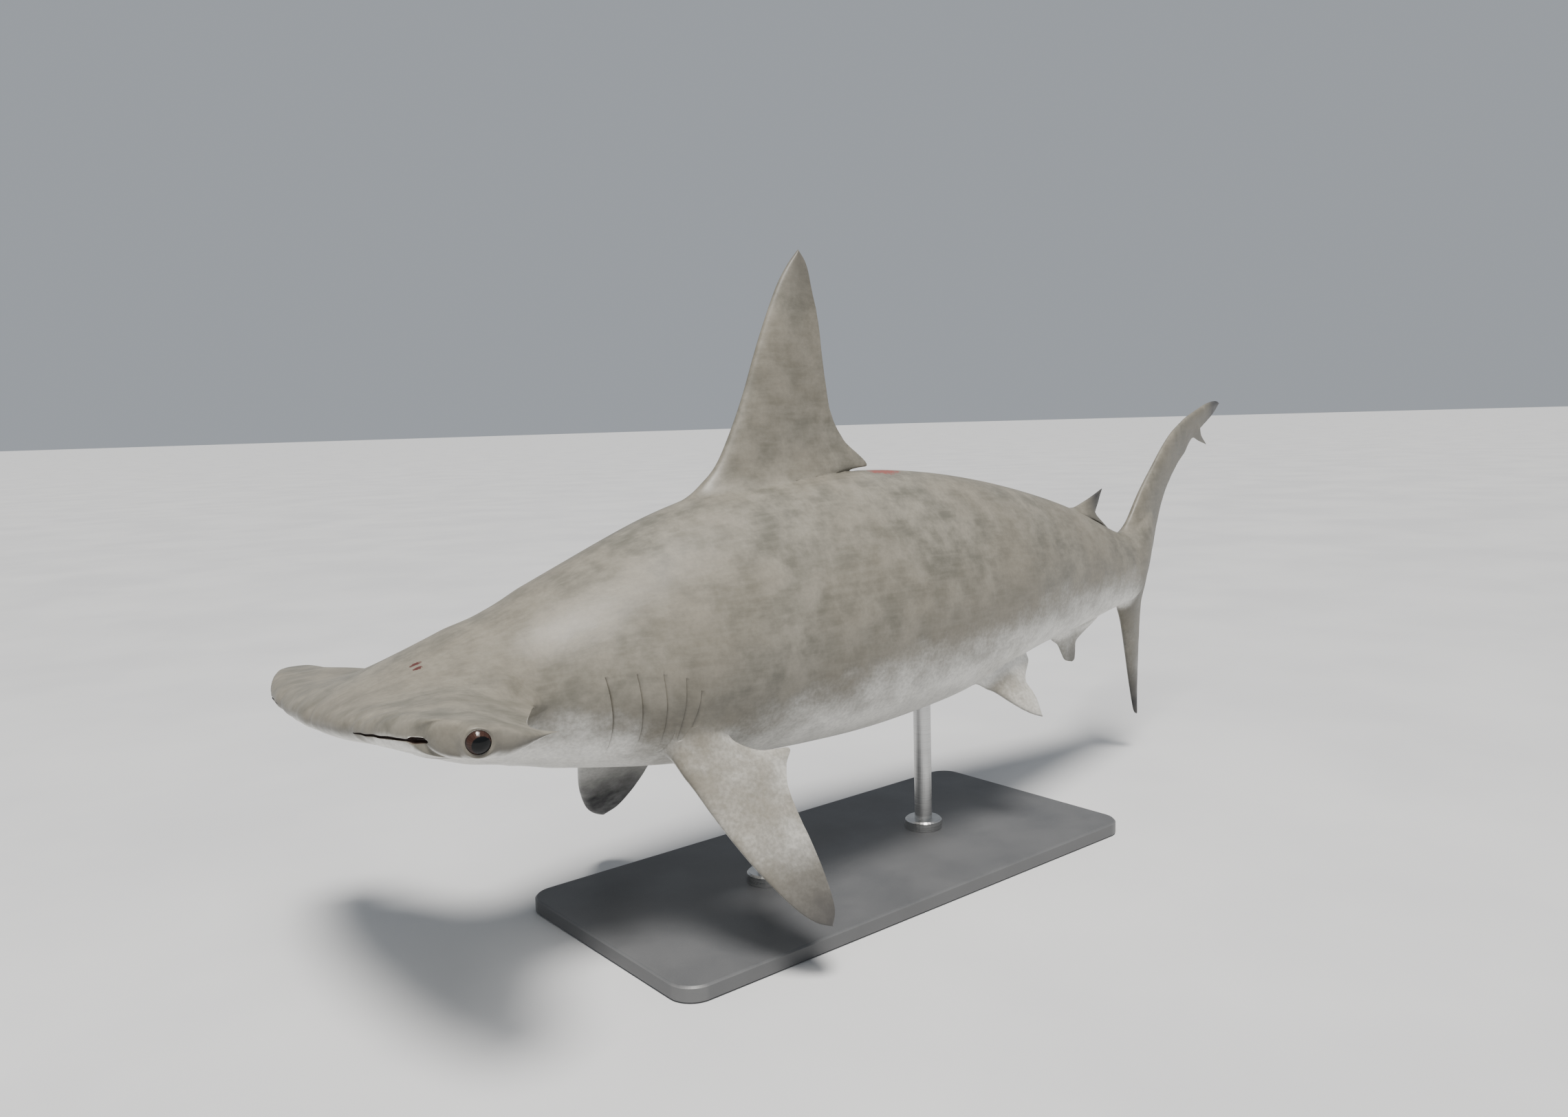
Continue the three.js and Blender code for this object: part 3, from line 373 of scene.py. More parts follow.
def beyond_neck(v):
    """Share of the way from the neck's side to the end of the wing."""
    return np.maximum((np.abs(v) - NECK_SHARE) / (1 - NECK_SHARE), 0)


def notch(v, form):
    """Shallow dip of the front margin: place, depth and width."""
    at, depth, width = form
    return depth * np.exp(-(((np.abs(v) - at) / width) ** 2))


def margin_folds(v):
    """Small lobes of the front margin, from -1 to 1."""
    out = np.abs(v)
    inside = smooth((out - FOLDS_FROM) / FOLDS_FULL) * smooth((FOLDS_TO - out) / FOLDS_FADE)
    depth = 0.6 + 0.4 * np.sin(9 * v + 1)
    return inside * depth * np.sin(FOLD_COUNT * out + 3.1 * np.sin(6.3 * v) + 0.5 * np.sign(v))


def hammer_front(v):
    """Station of the front margin."""
    arch = HAMMER_NOSE + HAMMER_ARCH * np.abs(v) ** ARCH_POWER
    notches = notch(v, MEDIAN_NOTCH) + notch(v, INNER_NOTCH) + notch(v, NOSTRIL_NOTCH)
    return arch + notches - FOLD_REACH * margin_folds(v)


def hammer_rear(v):
    """Station of the rear margin."""
    aside = beyond_neck(v)
    hollow = HAMMER_REAR_HOLLOW * np.sin(np.pi * np.minimum(aside, 1) ** 3)
    straight = HAMMER_REAR_AT + HAMMER_REAR_SWEEP * (1 - aside) - hollow
    return straight + (SKULL_END - HAMMER_REAR_AT - HAMMER_REAR_SWEEP) * np.exp(-aside / HAMMER_FILLET)


def hammer_half(c):
    """Half width of the hammer along its chord."""
    rise = np.sin(np.pi / 2 * np.minimum(c / HAMMER_END_FROM, 1))
    fall = smooth((c - WING_REAR_FROM) / (1 - WING_REAR_FROM))
    return (HAMMER_FRONT_HALF + (HAMMER_MAX_HALF - HAMMER_FRONT_HALF) * rise
            - (HAMMER_MAX_HALF - HAMMER_REAR_HALF) * fall)


def head_level(v, c):
    """Height of the middle surface of the head."""
    out = np.abs(v)
    wing = (WING_LEVEL_FRONT + (WING_LEVEL_SIDE - WING_LEVEL_FRONT) * smooth(out / WING_LEVEL_SIDE_AT)
            - WING_REAR_DROP * smooth(c) * out ** 3)
    neck = smooth((c - NECK_BLEND_FROM) / (1 - NECK_BLEND_FROM))
    return wing + (NECK_LEVEL - wing) * neck * (1 - smooth(beyond_neck(v) / NECK_BLEND_ASIDE))


def wing_height(v, c, top):
    """Half thickness of the wing."""
    front = np.sqrt(1 - (1 - np.minimum(c / WING_FRONT_ROUND, 1)) ** 2)
    rear = np.maximum((c - WING_REAR_FROM) / (1 - WING_REAR_FROM), 0)
    right = smooth(v / SIDE_FROM)
    root = WING_ROOT_POWER * np.exp(-beyond_neck(v) / WING_ROOT_REACH)
    wedge = 1 - rear ** (WING_REAR_POWER + RIGHT_REAR_GAIN * right + root)
    endward = np.maximum((np.abs(v) - 1 + WING_END_ROUND) / WING_END_ROUND, 0)
    end = np.sqrt(np.maximum(1 - endward ** 2, 0))
    dip = WING_VALLEY * (1 - RIGHT_VALLEY_LOSS * right)
    valley = 1 - dip * np.exp(-(((np.abs(v) - WING_VALLEY_AT) / WING_VALLEY_WIDTH) ** 2))
    kept = 1 - LEFT_PAD_LOSS * smooth((-v - LEFT_PAD_END) / LEFT_PAD_FADE)
    rise = smooth((c - PAD_FROM) / PAD_RISE)
    pad = WING_TOP_PAD * valley * kept * rise * smooth(np.abs(v) / SIDE_FROM) if top else 0
    folds = FOLD_HEIGHT * margin_folds(v) * np.exp(-(c / FOLD_FADE) ** 2)
    return WING_HALF_THICKNESS * (1 + pad + folds) * front * wedge * end


def dome_height(t, y, v, c, rise, top):
    """Height of the skull's dome over the middle surface."""
    reach = np.maximum((NECK_AT - t) / NECK_AT, 0)
    spread = DOME_SPREAD_TOP if top else DOME_SPREAD_UNDER
    half = NECK_HALF + spread * reach ** DOME_SPREAD_POWER * smooth(reach / DOME_SPREAD_START)
    power = 0.5 + (DOME_PEAK_TOP if top else DOME_PEAK_UNDER) * smooth(reach / DOME_PEAK_START)
    share = np.maximum(1 - (y / half) ** 2, 0)
    steepness = DOME_MARGIN + DOME_MARGIN_NECK * np.exp(-beyond_neck(v) / DOME_MARGIN_REACH)
    margin = np.sqrt(np.maximum(1 - c ** steepness, 0))
    sink = np.maximum(t - SINK_FROM, 0) / (SKULL_END - SINK_FROM)
    sinking = np.sqrt(np.maximum(1 - sink ** 3, 0))
    front = np.sqrt(1 - (1 - np.minimum(c / DOME_FRONT_ROUND, 1)) ** 2)
    return rise * share ** power * front * margin * sinking


def head_point(v, c, top):
    """Point of the head's upper or under side in the straight frame."""
    v, c = np.broadcast_arrays(np.asarray(v, float), np.asarray(c, float))
    t = hammer_front(v) + c * (hammer_rear(v) - hammer_front(v))
    y = v * hammer_half(c)
    level = head_level(v, c)
    back, belly, _, _ = body_profile(np.clip(t, 0, LOFT_TO))
    rise = np.maximum(back - level if top else level - belly, 0)
    height = (wing_height(v, c, top) ** 3 + dome_height(t, y, v, c, rise, top) ** 3) ** (1 / 3)
    return np.stack([t, y, level + (height if top else -height)], -1)


def head_at(t, y, top):
    """Point of the head's surface at a place of its plan."""
    v = y / HAMMER_MAX_HALF
    for _ in range(10):
        c = np.clip((t - hammer_front(v)) / (hammer_rear(v) - hammer_front(v)), 0, 1)
        v = y / hammer_half(c)
    return head_point(v, c, top)


def head_object():
    """The hammer with its dome, closed inside the trunk."""
    inner = NECK_SHARE * np.sin(np.pi / 2 * np.linspace(0, 1, NECK_COLUMNS + 1))
    outer = NECK_SHARE + (1 - NECK_SHARE) * (1 - np.cos(np.pi * np.linspace(0, 1, WING_COLUMNS + 1)[1:])) / 2
    half = np.concatenate([inner, outer])
    v = np.concatenate([-half[:0:-1], half])[None, :]
    c = ((1 - np.cos(np.pi / 2 * np.linspace(0, 1, HEAD_ROWS + 1))) ** 0.85)[:, None]
    c[-1] = 1
    return sheet_pair_object("hammer", place(head_point(v, c, True)), place(head_point(v, c, False)))


# Fins: a leading and a trailing curve with a rounded section between them
FIRST_DORSAL = {
    "lead": [(0.196, 0, 0.0680), (0.2210, 0, 0.0825), (0.241, 0, 0.0952), (0.2546, 0, 0.1077),
             (0.2665, 0, 0.128), (0.2775, 0, 0.1515), (0.2872, 0, 0.1763), (0.2957, 0, 0.1963),
             (0.3069, 0, 0.2196), (0.3166, 0, 0.234), (0.3262, 0, 0.2445)],
    "trail": [(0.362, 0, 0.070), (0.366, 0, 0.0985), (0.3838, 0, 0.1027), (0.3628, 0, 0.1201),
              (0.3511, 0, 0.1394), (0.3457, 0, 0.1688), (0.3418, 0, 0.1998), (0.3376, 0, 0.217),
              (0.333, 0, 0.2349), (0.3262, 0, 0.2445)],
    "thickness": [0.022, 0.0205, 0.0165, 0.013, 0.010, 0.0075, 0.0050],
    "steps": (110, 44),
}
SECOND_DORSAL = {
    "lead": [(0.600, 0, 0.040), (0.612, 0, 0.0550), (0.628, 0, 0.0563), (0.640, 0, 0.0592),
             (0.652, 0, 0.0626), (0.6625, 0, 0.0660), (0.6722, 0, 0.0693)],
    "trail": [(0.640, 0, 0.030), (0.652, 0, 0.0430), (0.6850, 0, 0.0322), (0.668, 0, 0.0425),
              (0.6612, 0, 0.0485), (0.6660, 0, 0.0575), (0.6722, 0, 0.0693)],
    "thickness": [0.009, 0.008, 0.005, 0.003],
    "steps": (48, 32),
    "flare": 0.002,
}
ANAL = {
    "lead": [(0.588, 0, -0.038), (0.5945, 0, -0.0508), (0.6040, 0, -0.0570), (0.6095, 0, -0.0650),
             (0.6145, 0, -0.0713), (0.6245, 0, -0.0742)],
    "trail": [(0.635, 0, -0.030), (0.643, 0, -0.0405), (0.667, 0, -0.0405), (0.6400, 0, -0.0525),
              (0.6308, 0, -0.0578), (0.6297, 0, -0.0660), (0.6285, 0, -0.0726), (0.6245, 0, -0.0742)],
    "thickness": [0.009, 0.008, 0.005, 0.003],
    "steps": (48, 32),
    "flare": 0.002,
}
PELVIC = {
    "lead": [(0.450, -0.028, -0.050), (0.4570, -0.0378, -0.0604), (0.4660, -0.0432, -0.0655),
             (0.4740, -0.0495, -0.0724), (0.4815, -0.0552, -0.0787), (0.4890, -0.0594, -0.0834),
             (0.4969, -0.0623, -0.0865)],
    "trail": [(0.500, -0.020, -0.038), (0.5063, -0.0288, -0.0426), (0.5155, -0.0308, -0.0441),
              (0.5170, -0.0345, -0.0487), (0.5120, -0.0375, -0.0531), (0.5040, -0.0415, -0.0592),
              (0.5004, -0.0450, -0.0640), (0.5012, -0.0490, -0.0690), (0.5014, -0.0535, -0.0748),
              (0.4994, -0.0579, -0.0807), (0.4969, -0.0623, -0.0865)],
    "normal": (0.10, -0.74, 0.66),
    "thickness": [0.010, 0.009, 0.006, 0.0035],
    "steps": (48, 32),
    "flare": 0.002,
}
TAIL_UPPER = {
    "lead": [(0.698, 0, 0.010), (0.706, 0, 0.0283), (0.7206, 0, 0.0398), (0.744, 0, 0.0638),
             (0.7691, 0, 0.084), (0.7970, 0, 0.1040), (0.8280, 0.001, 0.1180), (0.8600, 0.001, 0.1265),
             (0.8850, 0.001, 0.1275), (0.9050, 0.001, 0.1200), (0.9180, 0.002, 0.1090),
             (0.9470, 0.002, 0.0985)],
    "trail": [(0.745, 0.002, -0.035), (0.7579, 0.001, -0.0200), (0.7700, 0, 0.0060), (0.7800, 0, 0.0300),
              (0.7960, 0, 0.0555), (0.8180, 0.001, 0.0725), (0.8400, 0.002, 0.0845),
              (0.8600, 0.002, 0.0935), (0.8770, 0.003, 0.1018), (0.8880, 0.002, 0.1068),
              (0.9100, 0.002, 0.1032), (0.9470, 0.002, 0.0985)],
    "thickness": [0.030, 0.0175, 0.0115, 0.0088, 0.0078, 0.0072, 0.0065, 0.0052, 0.0035],
    "steps": (150, 36),
    "flare": 0,
}
TAIL_END = {
    "lead": [(0.8280, 0.001, 0.1172), (0.8450, 0.001, 0.1232), (0.8630, 0.001, 0.1283),
             (0.8850, 0.001, 0.1325), (0.9050, 0, 0.1366), (0.9250, -0.001, 0.1401),
             (0.9513, -0.002, 0.1426), (0.9750, -0.003, 0.1431), (0.9908, -0.004, 0.1407)],
    "trail": [(0.8350, 0.002, 0.1050), (0.8580, 0.002, 0.1085), (0.8800, 0.001, 0.1110),
              (0.9030, 0.001, 0.1130), (0.9160, 0, 0.1178), (0.9320, -0.001, 0.1225),
              (0.9500, -0.002, 0.1275), (0.9720, -0.003, 0.1340), (0.9908, -0.004, 0.1407)],
    "thickness": [0.0060, 0.0064, 0.0060, 0.0055, 0.0048, 0.0035],
    "steps": (90, 32),
    "flare": 0,
}
TAIL_LOWER = {
    "lead": [(0.690, 0, -0.020), (0.7000, 0, -0.0360), (0.7095, 0.0009, -0.0505), (0.7218, 0.0028, -0.080),
             (0.7354, 0.0053, -0.1123), (0.7486, 0.0070, -0.1409), (0.7550, 0.0075, -0.1465)],
    "trail": [(0.770, 0, 0.010), (0.7579, 0, -0.0200), (0.7490, 0.0010, -0.0400), (0.7470, 0.0019, -0.0700),
              (0.7500, 0.0043, -0.1000), (0.7545, 0.0070, -0.1330), (0.7550, 0.0075, -0.1465)],
    "thickness": [0.019, 0.0135, 0.0095, 0.0070, 0.0052, 0.0035],
    "steps": (90, 36),
    "flare": 0,
}
PECTORAL_ORIGIN = np.array([0.1785, -0.0521, -0.0554])
PECTORAL_SPAN = np.array([0.4289, -0.5638, -0.7058])
PECTORAL_CHORD = np.array([0.8839, 0.1005, 0.4568])
PECTORAL_NORMAL = np.array([-0.1866, -0.8198, 0.5415])
PECTORAL_LEAD = [(-0.025, 0.007), (0, -0.0015), (0.018, -0.0027), (0.038, -0.0060), (0.0585, -0.0084),
                 (0.0805, -0.0096), (0.1056, -0.0086), (0.1202, -0.0050), (0.1288, 0.0008)]
PECTORAL_TRAIL = [(-0.010, 0.044), (0.0125, 0.0378), (0.0223, 0.0401), (0.0325, 0.0462), (0.0428, 0.0603),
                  (0.0482, 0.0522), (0.0569, 0.0430), (0.0703, 0.0357), (0.0892, 0.0279), (0.1069, 0.0196),
                  (0.1229, 0.0097), (0.1288, 0.0008)]
FREE_CORNER = 4
RIGHT_PECTORAL = {"twist": math.radians(-24), "mirror": True, "forward": 0.001, "broad": 1.17, "long": 0.950}


def pectoral(twist=0, mirror=False, forward=0, broad=1, long=1):
    """A pectoral fin in its plane, turned about its span by the twist."""
    chord_way = PECTORAL_CHORD * math.cos(twist) + PECTORAL_NORMAL * math.sin(twist)
    normal = PECTORAL_NORMAL * math.cos(twist) - PECTORAL_CHORD * math.sin(twist)
    origin = PECTORAL_ORIGIN - np.array([forward, 0, 0])

    def on_plane(points):
        return [origin + PECTORAL_SPAN * span * long + chord_way * chord * broad for span, chord in points]

    return {
        "lead": on_plane(PECTORAL_LEAD),
        "trail": on_plane(PECTORAL_TRAIL),
        "normal": tuple(normal),
        "thickness": [0.016, 0.014, 0.0105, 0.008, 0.006, 0.004],
        "free_corner": on_plane([PECTORAL_TRAIL[FREE_CORNER]])[0],
        "steps": (110, 44),
        "mirror": mirror,
    }


FINS = {
    "first_dorsal": FIRST_DORSAL,
    "second_dorsal": SECOND_DORSAL,
    "anal": ANAL,
    "pelvic_left": PELVIC,
    "pelvic_right": {**PELVIC, "mirror": True},
    "tail_upper": TAIL_UPPER,
    "tail_end": TAIL_END,
    "tail_lower": TAIL_LOWER,
    "pectoral_left": pectoral(),
    "pectoral_right": pectoral(**RIGHT_PECTORAL),
}
# Wear of the trailing edges, usual swell of a fin's root, and the least chord that wear divides by
RAGGED = 0.00016
FLARE = 0.0028
SHORTEST_CHORD = 1e-6


def side_turn(form):
    """Factors that mirror a fin's points to its own side."""
    return np.array([1, -1 if form.get("mirror") else 1, 1])


def edge_wear(h):
    """Small unevenness of a trailing edge along the span, none at root and tip."""
    wear = np.sin(53 * h) + np.sin(89 * h + 1) + np.sin(151 * h + 2) * np.sin(11 * h)
    wear *= smooth((h - 0.15) / 0.2) * (1 - h)
    return wear[:, None, None]


def fin_section(c):
    """Thickness along the chord: a round front, thin towards the rear edge."""
    return 2.6 * np.sqrt(c) * (1 - c) * (1 - 0.35 * c) + 0.12 * np.sqrt(1 - c) * c


def fin_object(name, form):
    """One fin as a closed form."""
    span, chord = form["steps"]
    normal = np.array(form.get("normal", (0, 1, 0)), float)
    normal /= np.linalg.norm(normal)
    h = np.sin(np.pi / 2 * np.linspace(0, 1, span + 1))
    a = curve_at(form["lead"], h)[:, None]
    b = curve_at(form["trail"], h)[:, None]
    width = np.maximum(np.linalg.norm(b - a, axis=-1, keepdims=True), SHORTEST_CHORD)
    b = b + RAGGED * edge_wear(h) * (b - a) / width
    thick = curve_at([(value,) for value in form["thickness"]], h)
    tip = np.sqrt(np.maximum(1 - h ** 8, 0))[:, None]
    c = ((1 - np.cos(np.pi * np.linspace(0, 1, chord + 1))) / 2)[None, :]
    middle = a + (b - a) * c[..., None]
    near = np.maximum(1 - np.maximum(body_clearance(middle), 0) / FLARE_REACH, 0)
    root = form.get("flare", FLARE) * near ** 2 * np.sqrt(4 * c * (1 - c))
    off = ((thick / 2 * fin_section(c) + root) * tip)[..., None] * normal
    turn = side_turn(form)
    return sheet_pair_object(name, place((middle + off) * turn), place((middle - off) * turn))


# Joining and relaxing
# How far each part's joint with the body is rounded, in metres, and in how many rounds
JOINTS = {
    "hammer": (0.065, 240),
    "first_dorsal": (0.030, 30),
    "second_dorsal": (0.012, 10),
    "anal": (0.012, 10),
    "pelvic_left": (0.024, 30),
    "pelvic_right": (0.024, 30),
    "tail_upper": (0.030, 30),
    "tail_end": (0.012, 12),
    "tail_lower": (0.025, 24),
    "pectoral_left": (0.055, 130),
    "pectoral_right": (0.055, 130),
}
CORNER_KEPT = 0.085
SHORTEST_EDGE = 0.0002
RELAX_SHARE = 0.7


def evaluated_mesh(piece):
    """The piece's mesh with its modifiers applied."""
    graph = bpy.context.evaluated_depsgraph_get()
    return bpy.data.meshes.new_from_object(piece.evaluated_get(graph))


def combine(base, other, operation):
    """Boolean of two closed pieces; the second is used up."""
    change = base.modifiers.new("combine", "BOOLEAN")
    change.operation = operation
    change.object = other
    change.solver = "MANIFOLD"
    mesh = evaluated_mesh(base)
    base.modifiers.clear()
    old = base.data
    base.data = mesh
    bpy.data.meshes.remove(old)
    bpy.data.objects.remove(other)


def positions(mesh):
    """Vertex places as an array."""
    co = np.empty(len(mesh.vertices) * 3)
    mesh.vertices.foreach_get("co", co)
    return co.reshape(-1, 3)


def set_positions(mesh, co):
    """Moves the vertices to the places of an array."""
    mesh.vertices.foreach_set("co", co.ravel())
    mesh.update()


def mark_faces(piece, index):
    """Gives all the faces of a piece one material index."""
    piece.data.polygons.foreach_set("material_index", [index] * len(piece.data.polygons))


def shade_smooth(piece):
    """Smooth shading on all the faces of a piece."""
    piece.data.polygons.foreach_set("use_smooth", [True] * len(piece.data.polygons))


def mesh_edges(mesh):
    """Vertex pairs of the edges as an array."""
    pairs = np.empty(len(mesh.edges) * 2, int)
    mesh.edges.foreach_get("vertices", pairs)
    return pairs.reshape(-1, 2)


def vertex_parts(mesh):
    """Lowest and highest part index of the faces round each vertex."""
    part = np.empty(len(mesh.polygons), int)
    mesh.polygons.foreach_get("material_index", part)
    counts = np.empty(len(mesh.polygons), int)
    mesh.polygons.foreach_get("loop_total", counts)
    corner = np.empty(len(mesh.loops), int)
    mesh.loops.foreach_get("vertex_index", corner)
    of_corner = np.repeat(part, counts)
    low = np.full(len(mesh.vertices), 10 ** 6)
    high = np.full(len(mesh.vertices), -1)
    np.minimum.at(low, corner, of_corner)
    np.maximum.at(high, corner, of_corner)
    return low, high


def nearness(co, spots, reach):
    """Soft share from 1 at the spots to 0 at the reach."""
    tree = kdtree.KDTree(len(spots))
    for i, spot in enumerate(spots):
        tree.insert(spot, i)
    tree.balance()
    low = spots.min(0) - reach
    high = spots.max(0) + reach
    share = np.zeros(len(co))
    for i in np.flatnonzero(((co > low) & (co < high)).all(1)):
        distance = tree.find(co[i])[2]
        if distance < reach:
            share[i] = 1 - distance / reach
    return smooth(share)


def relax(mesh, weights, rounds):
    """Moves vertices towards the mean of their neighbours, by their weights."""
    co = positions(mesh)
    pairs = mesh_edges(mesh)
    used = (weights[pairs] > 0).any(1)
    pairs = pairs[used]
    spots, flat = np.unique(pairs, return_inverse=True)
    flat = flat.reshape(-1, 2)
    one = np.concatenate([flat[:, 0], flat[:, 1]])
    two = np.concatenate([flat[:, 1], flat[:, 0]])
    p = co[spots]
    pull = 1 / np.maximum(np.linalg.norm(p[one] - p[two], axis=1), SHORTEST_EDGE)
    count = np.bincount(one, pull, len(spots))[:, None]
    share = (RELAX_SHARE * weights[spots])[:, None]
    for _ in range(rounds):
        total = np.stack([np.bincount(one, pull * p[two, k], len(spots)) for k in range(3)], -1)
        p += share * (total / count - p)
    co[spots] = p
    set_positions(mesh, co)


def label(piece, skin, index):
    """Gives a piece the skin's list of parts, and all its faces one part of it."""
    for material in skin.data.materials:
        piece.data.materials.append(material)
    mark_faces(piece, index)


def joint_weights(co, rim, name):
    """Softness of the surface round a part's rim; a free corner stays sharp."""
    soft = nearness(co, rim, JOINTS[name][0])
    form = FINS.get(name, {})
    if "free_corner" in form:
        corner = np.array(form["free_corner"]) * side_turn(form)
        soft *= 1 - nearness(co, place(corner[None]), CORNER_KEPT)
    return soft


def joined_skin():
    """Trunk, hammer and fins as one closed surface with soft joints."""
    names = ["trunk", "hammer", *FINS]
    skin = body_object()
    skin.name = "skin"
    for name in names + ["hollow"]:
        skin.data.materials.append(bpy.data.materials.new("part_" + name))
    for index, name in enumerate(names[1:], 1):
        piece = head_object() if name == "hammer" else fin_object(name, FINS[name])
        label(piece, skin, index)
        combine(skin, piece, "UNION")
        low, high = vertex_parts(skin.data)
        rim = (high == index) & (low < index)
        co = positions(skin.data)
        relax(skin.data, joint_weights(co, co[rim], name), JOINTS[name][1])
    return skin


def hollow_out(skin, piece):
    """Cuts a piece's form out of the skin and marks the new faces as a hollow."""
    label(piece, skin, len(skin.data.materials) - 1)
    combine(skin, piece, "DIFFERENCE")


def skin_tree(skin):
    """Search tree of the skin's surface."""
    spots = [tuple(vertex.co) for vertex in skin.data.vertices]
    return BVHTree.FromPolygons(spots, [tuple(face.vertices) for face in skin.data.polygons])


SNAP_REACH = 0.06


def snapped(tree, spots, normals):
    """The spots moved along their normals onto the skin."""
    found = []
    for spot, normal in zip(spots, normals):
        hit = tree.ray_cast(Vector(spot + SNAP_REACH * normal), Vector(-normal), 2 * SNAP_REACH)[0]
        found.append(spot if hit is None else np.array(hit))
    return np.array(found)


def surface_spots(surface, a, b, outward):
    """Places and outward normals of a surface given by a function of two values."""
    step = 0.001
    spot = place(surface(a, b))
    normal = np.cross(place(surface(a + step, b)) - spot, place(surface(a, b + step)) - spot)
    normal /= np.linalg.norm(normal, axis=-1, keepdims=True)
    return spot, normal * np.sign((normal * outward).sum(-1, keepdims=True))


def pointed(f):
    """Size of a groove along its path, drawn out to a point at both ends."""
    return np.maximum(np.sin(np.pi * f), 0) ** 0.45 + 0.04


def ribbon(name, spots, normals, section, growth=1):
    """A closed ribbon: one section in millimetres, across and out, swept along a path."""
    along = np.gradient(spots, axis=0)
    side = np.cross(along, normals)
    side /= np.linalg.norm(side, axis=-1, keepdims=True)
    size = (pointed(np.linspace(0, 1, len(spots))) * growth)[:, None, None] * MILLIMETRE
    across, out = np.asarray(section, float).T[:, None, :, None]
    return tube_object(name, spots[:, None] + size * (across * side[:, None] + out * normals[:, None]))


# Gills: five slits on each side, each behind a flap
GILL_SLITS = [
    (0.1368, -0.0030, 0.1417, -0.0480),
    (0.1538, -0.0030, 0.1579, -0.0500),
    (0.1690, -0.0045, 0.1719, -0.0520),
    (0.1826, -0.0080, 0.1806, -0.0440),
    (0.1922, -0.0160, 0.1884, -0.0375),
]
GILLS_FROM = 0.11
GILLS_TO = 0.21
FLANK_FROM = 0.03
GILL_BOW = 0.0008
GILL_STEPS = 48
GILL_FLAP_LENGTH = 0.011
GILL_FLAP_EDGE = 0.0015
GILL_FLAP_SWELL = 0.0016
GILL_CUT = [(0.2, 8), (21, 8), (19, 0.7), (15, -0.3), (11, -1.0), (7, -1.9), (4, -2.7), (2.0, -3.6),
            (0.5, -5.2), (-2.5, -8.0), (-6.5, -10.5), (-8.0, -10.2), (-5.0, -7.0), (-2.2, -4.0), (-0.5, -1.6)]


def slit_line(slit, f):
    """Station and height of a gill slit at shares of its length."""
    t_top, z_top, t_bottom, z_bottom = slit
    return t_top + (t_bottom - t_top) * f + GILL_BOW * np.sin(np.pi * f), z_top + (z_bottom - z_top) * f


def flank(side):
    """Surface of one flank over station and height."""
    def surface(t, z):
        level, half, height, exponent = body_section(t, z)
        share = np.maximum(1 - np.abs((z - level) / height) ** exponent, 0) ** (1 / exponent)
        return np.stack([t, side * half * share, z], -1)
    return surface


def swell_gill_flaps(skin):
    """Raises each flap towards its free edge."""
    co = positions(skin.data)
    rest = unplace(co)
    t, y, z = rest.T
    swell = np.zeros(len(co))
    for slit in GILL_SLITS:
        f = (z - slit[1]) / (slit[3] - slit[1])
        ahead = slit_line(slit, np.clip(f, 0, 1))[0] - t
        window = smooth(1.1 * (1 - np.abs(2 * f - 1)) + 0.1)
        swell += window * smooth(1 - ahead / GILL_FLAP_LENGTH) * smooth(ahead / GILL_FLAP_EDGE + 1)
    chosen = (t > GILLS_FROM) & (t < GILLS_TO) & (swell > 0) & (np.abs(y) > FLANK_FROM)
    out = place(rest + np.array([0, 0.001, 0]) * np.sign(y)[:, None]) - place(rest)
    out /= np.linalg.norm(out, axis=-1, keepdims=True)
    co[chosen] += (GILL_FLAP_SWELL * np.minimum(swell, 1)[:, None] * out)[chosen]
    set_positions(skin.data, co)


def cut_gills(skin):
    """Cuts the slits under the free edges of the flaps, with a hollow behind each."""
    tree = skin_tree(skin)
    for slit in GILL_SLITS:
        for side in (-1, 1):
            t, z = slit_line(slit, np.linspace(0, 1, GILL_STEPS)[::side])
            spots, normals = surface_spots(flank(side), t, z, np.array([0, side, 0]))
            spots = snapped(tree, spots, normals)
            hollow_out(skin, ribbon("gill", spots, normals, GILL_CUT))


# Mouth: a crescent under the head, with lips
MOUTH_FRONT_AT = 0.0540
MOUTH_CORNER_AT = 0.0880
MOUTH_HALF = 0.0340
MOUTH_STEPS = 72
LIP_REACH = 0.016
LIP_ROUNDS = 14
LIP = [(9.5 * math.cos(a), 2.4 * math.sin(a) - 0.4) for a in np.linspace(-0.3, math.pi + 0.3, 17)]
MOUTH_CUT = [(2.4, 7), (-2.4, 7), (-1.9, 2.2), (-1.3, 0.4), (-0.9, -2), (-0.2, -5), (0.9, -8), (2.0, -8),
             (1.6, -4), (1.0, -1), (1.3, 0.8), (1.9, 2.2)]


def mouth_path(tree):
    """Places and normals along the line of the mouth."""
    angle = np.pi * (np.linspace(0, 1, MOUTH_STEPS) - 0.5)
    y = MOUTH_HALF * np.sin(angle)
    t = MOUTH_CORNER_AT - (MOUTH_CORNER_AT - MOUTH_FRONT_AT) * np.cos(angle)
    spots, normals = surface_spots(lambda a, b: head_at(a, b, False), t, y, np.array([0, 0, -1]))
    return snapped(tree, spots, normals), normals


def make_mouth(skin):
    """Adds the lips and parts them."""
    spots, normals = mouth_path(skin_tree(skin))
    combine(skin, ribbon("lips", spots, normals, LIP), "UNION")
    relax(skin.data, nearness(positions(skin.data), spots, LIP_REACH), LIP_ROUNDS)
    hollow_out(skin, ribbon("mouth", spots, normals, MOUTH_CUT))


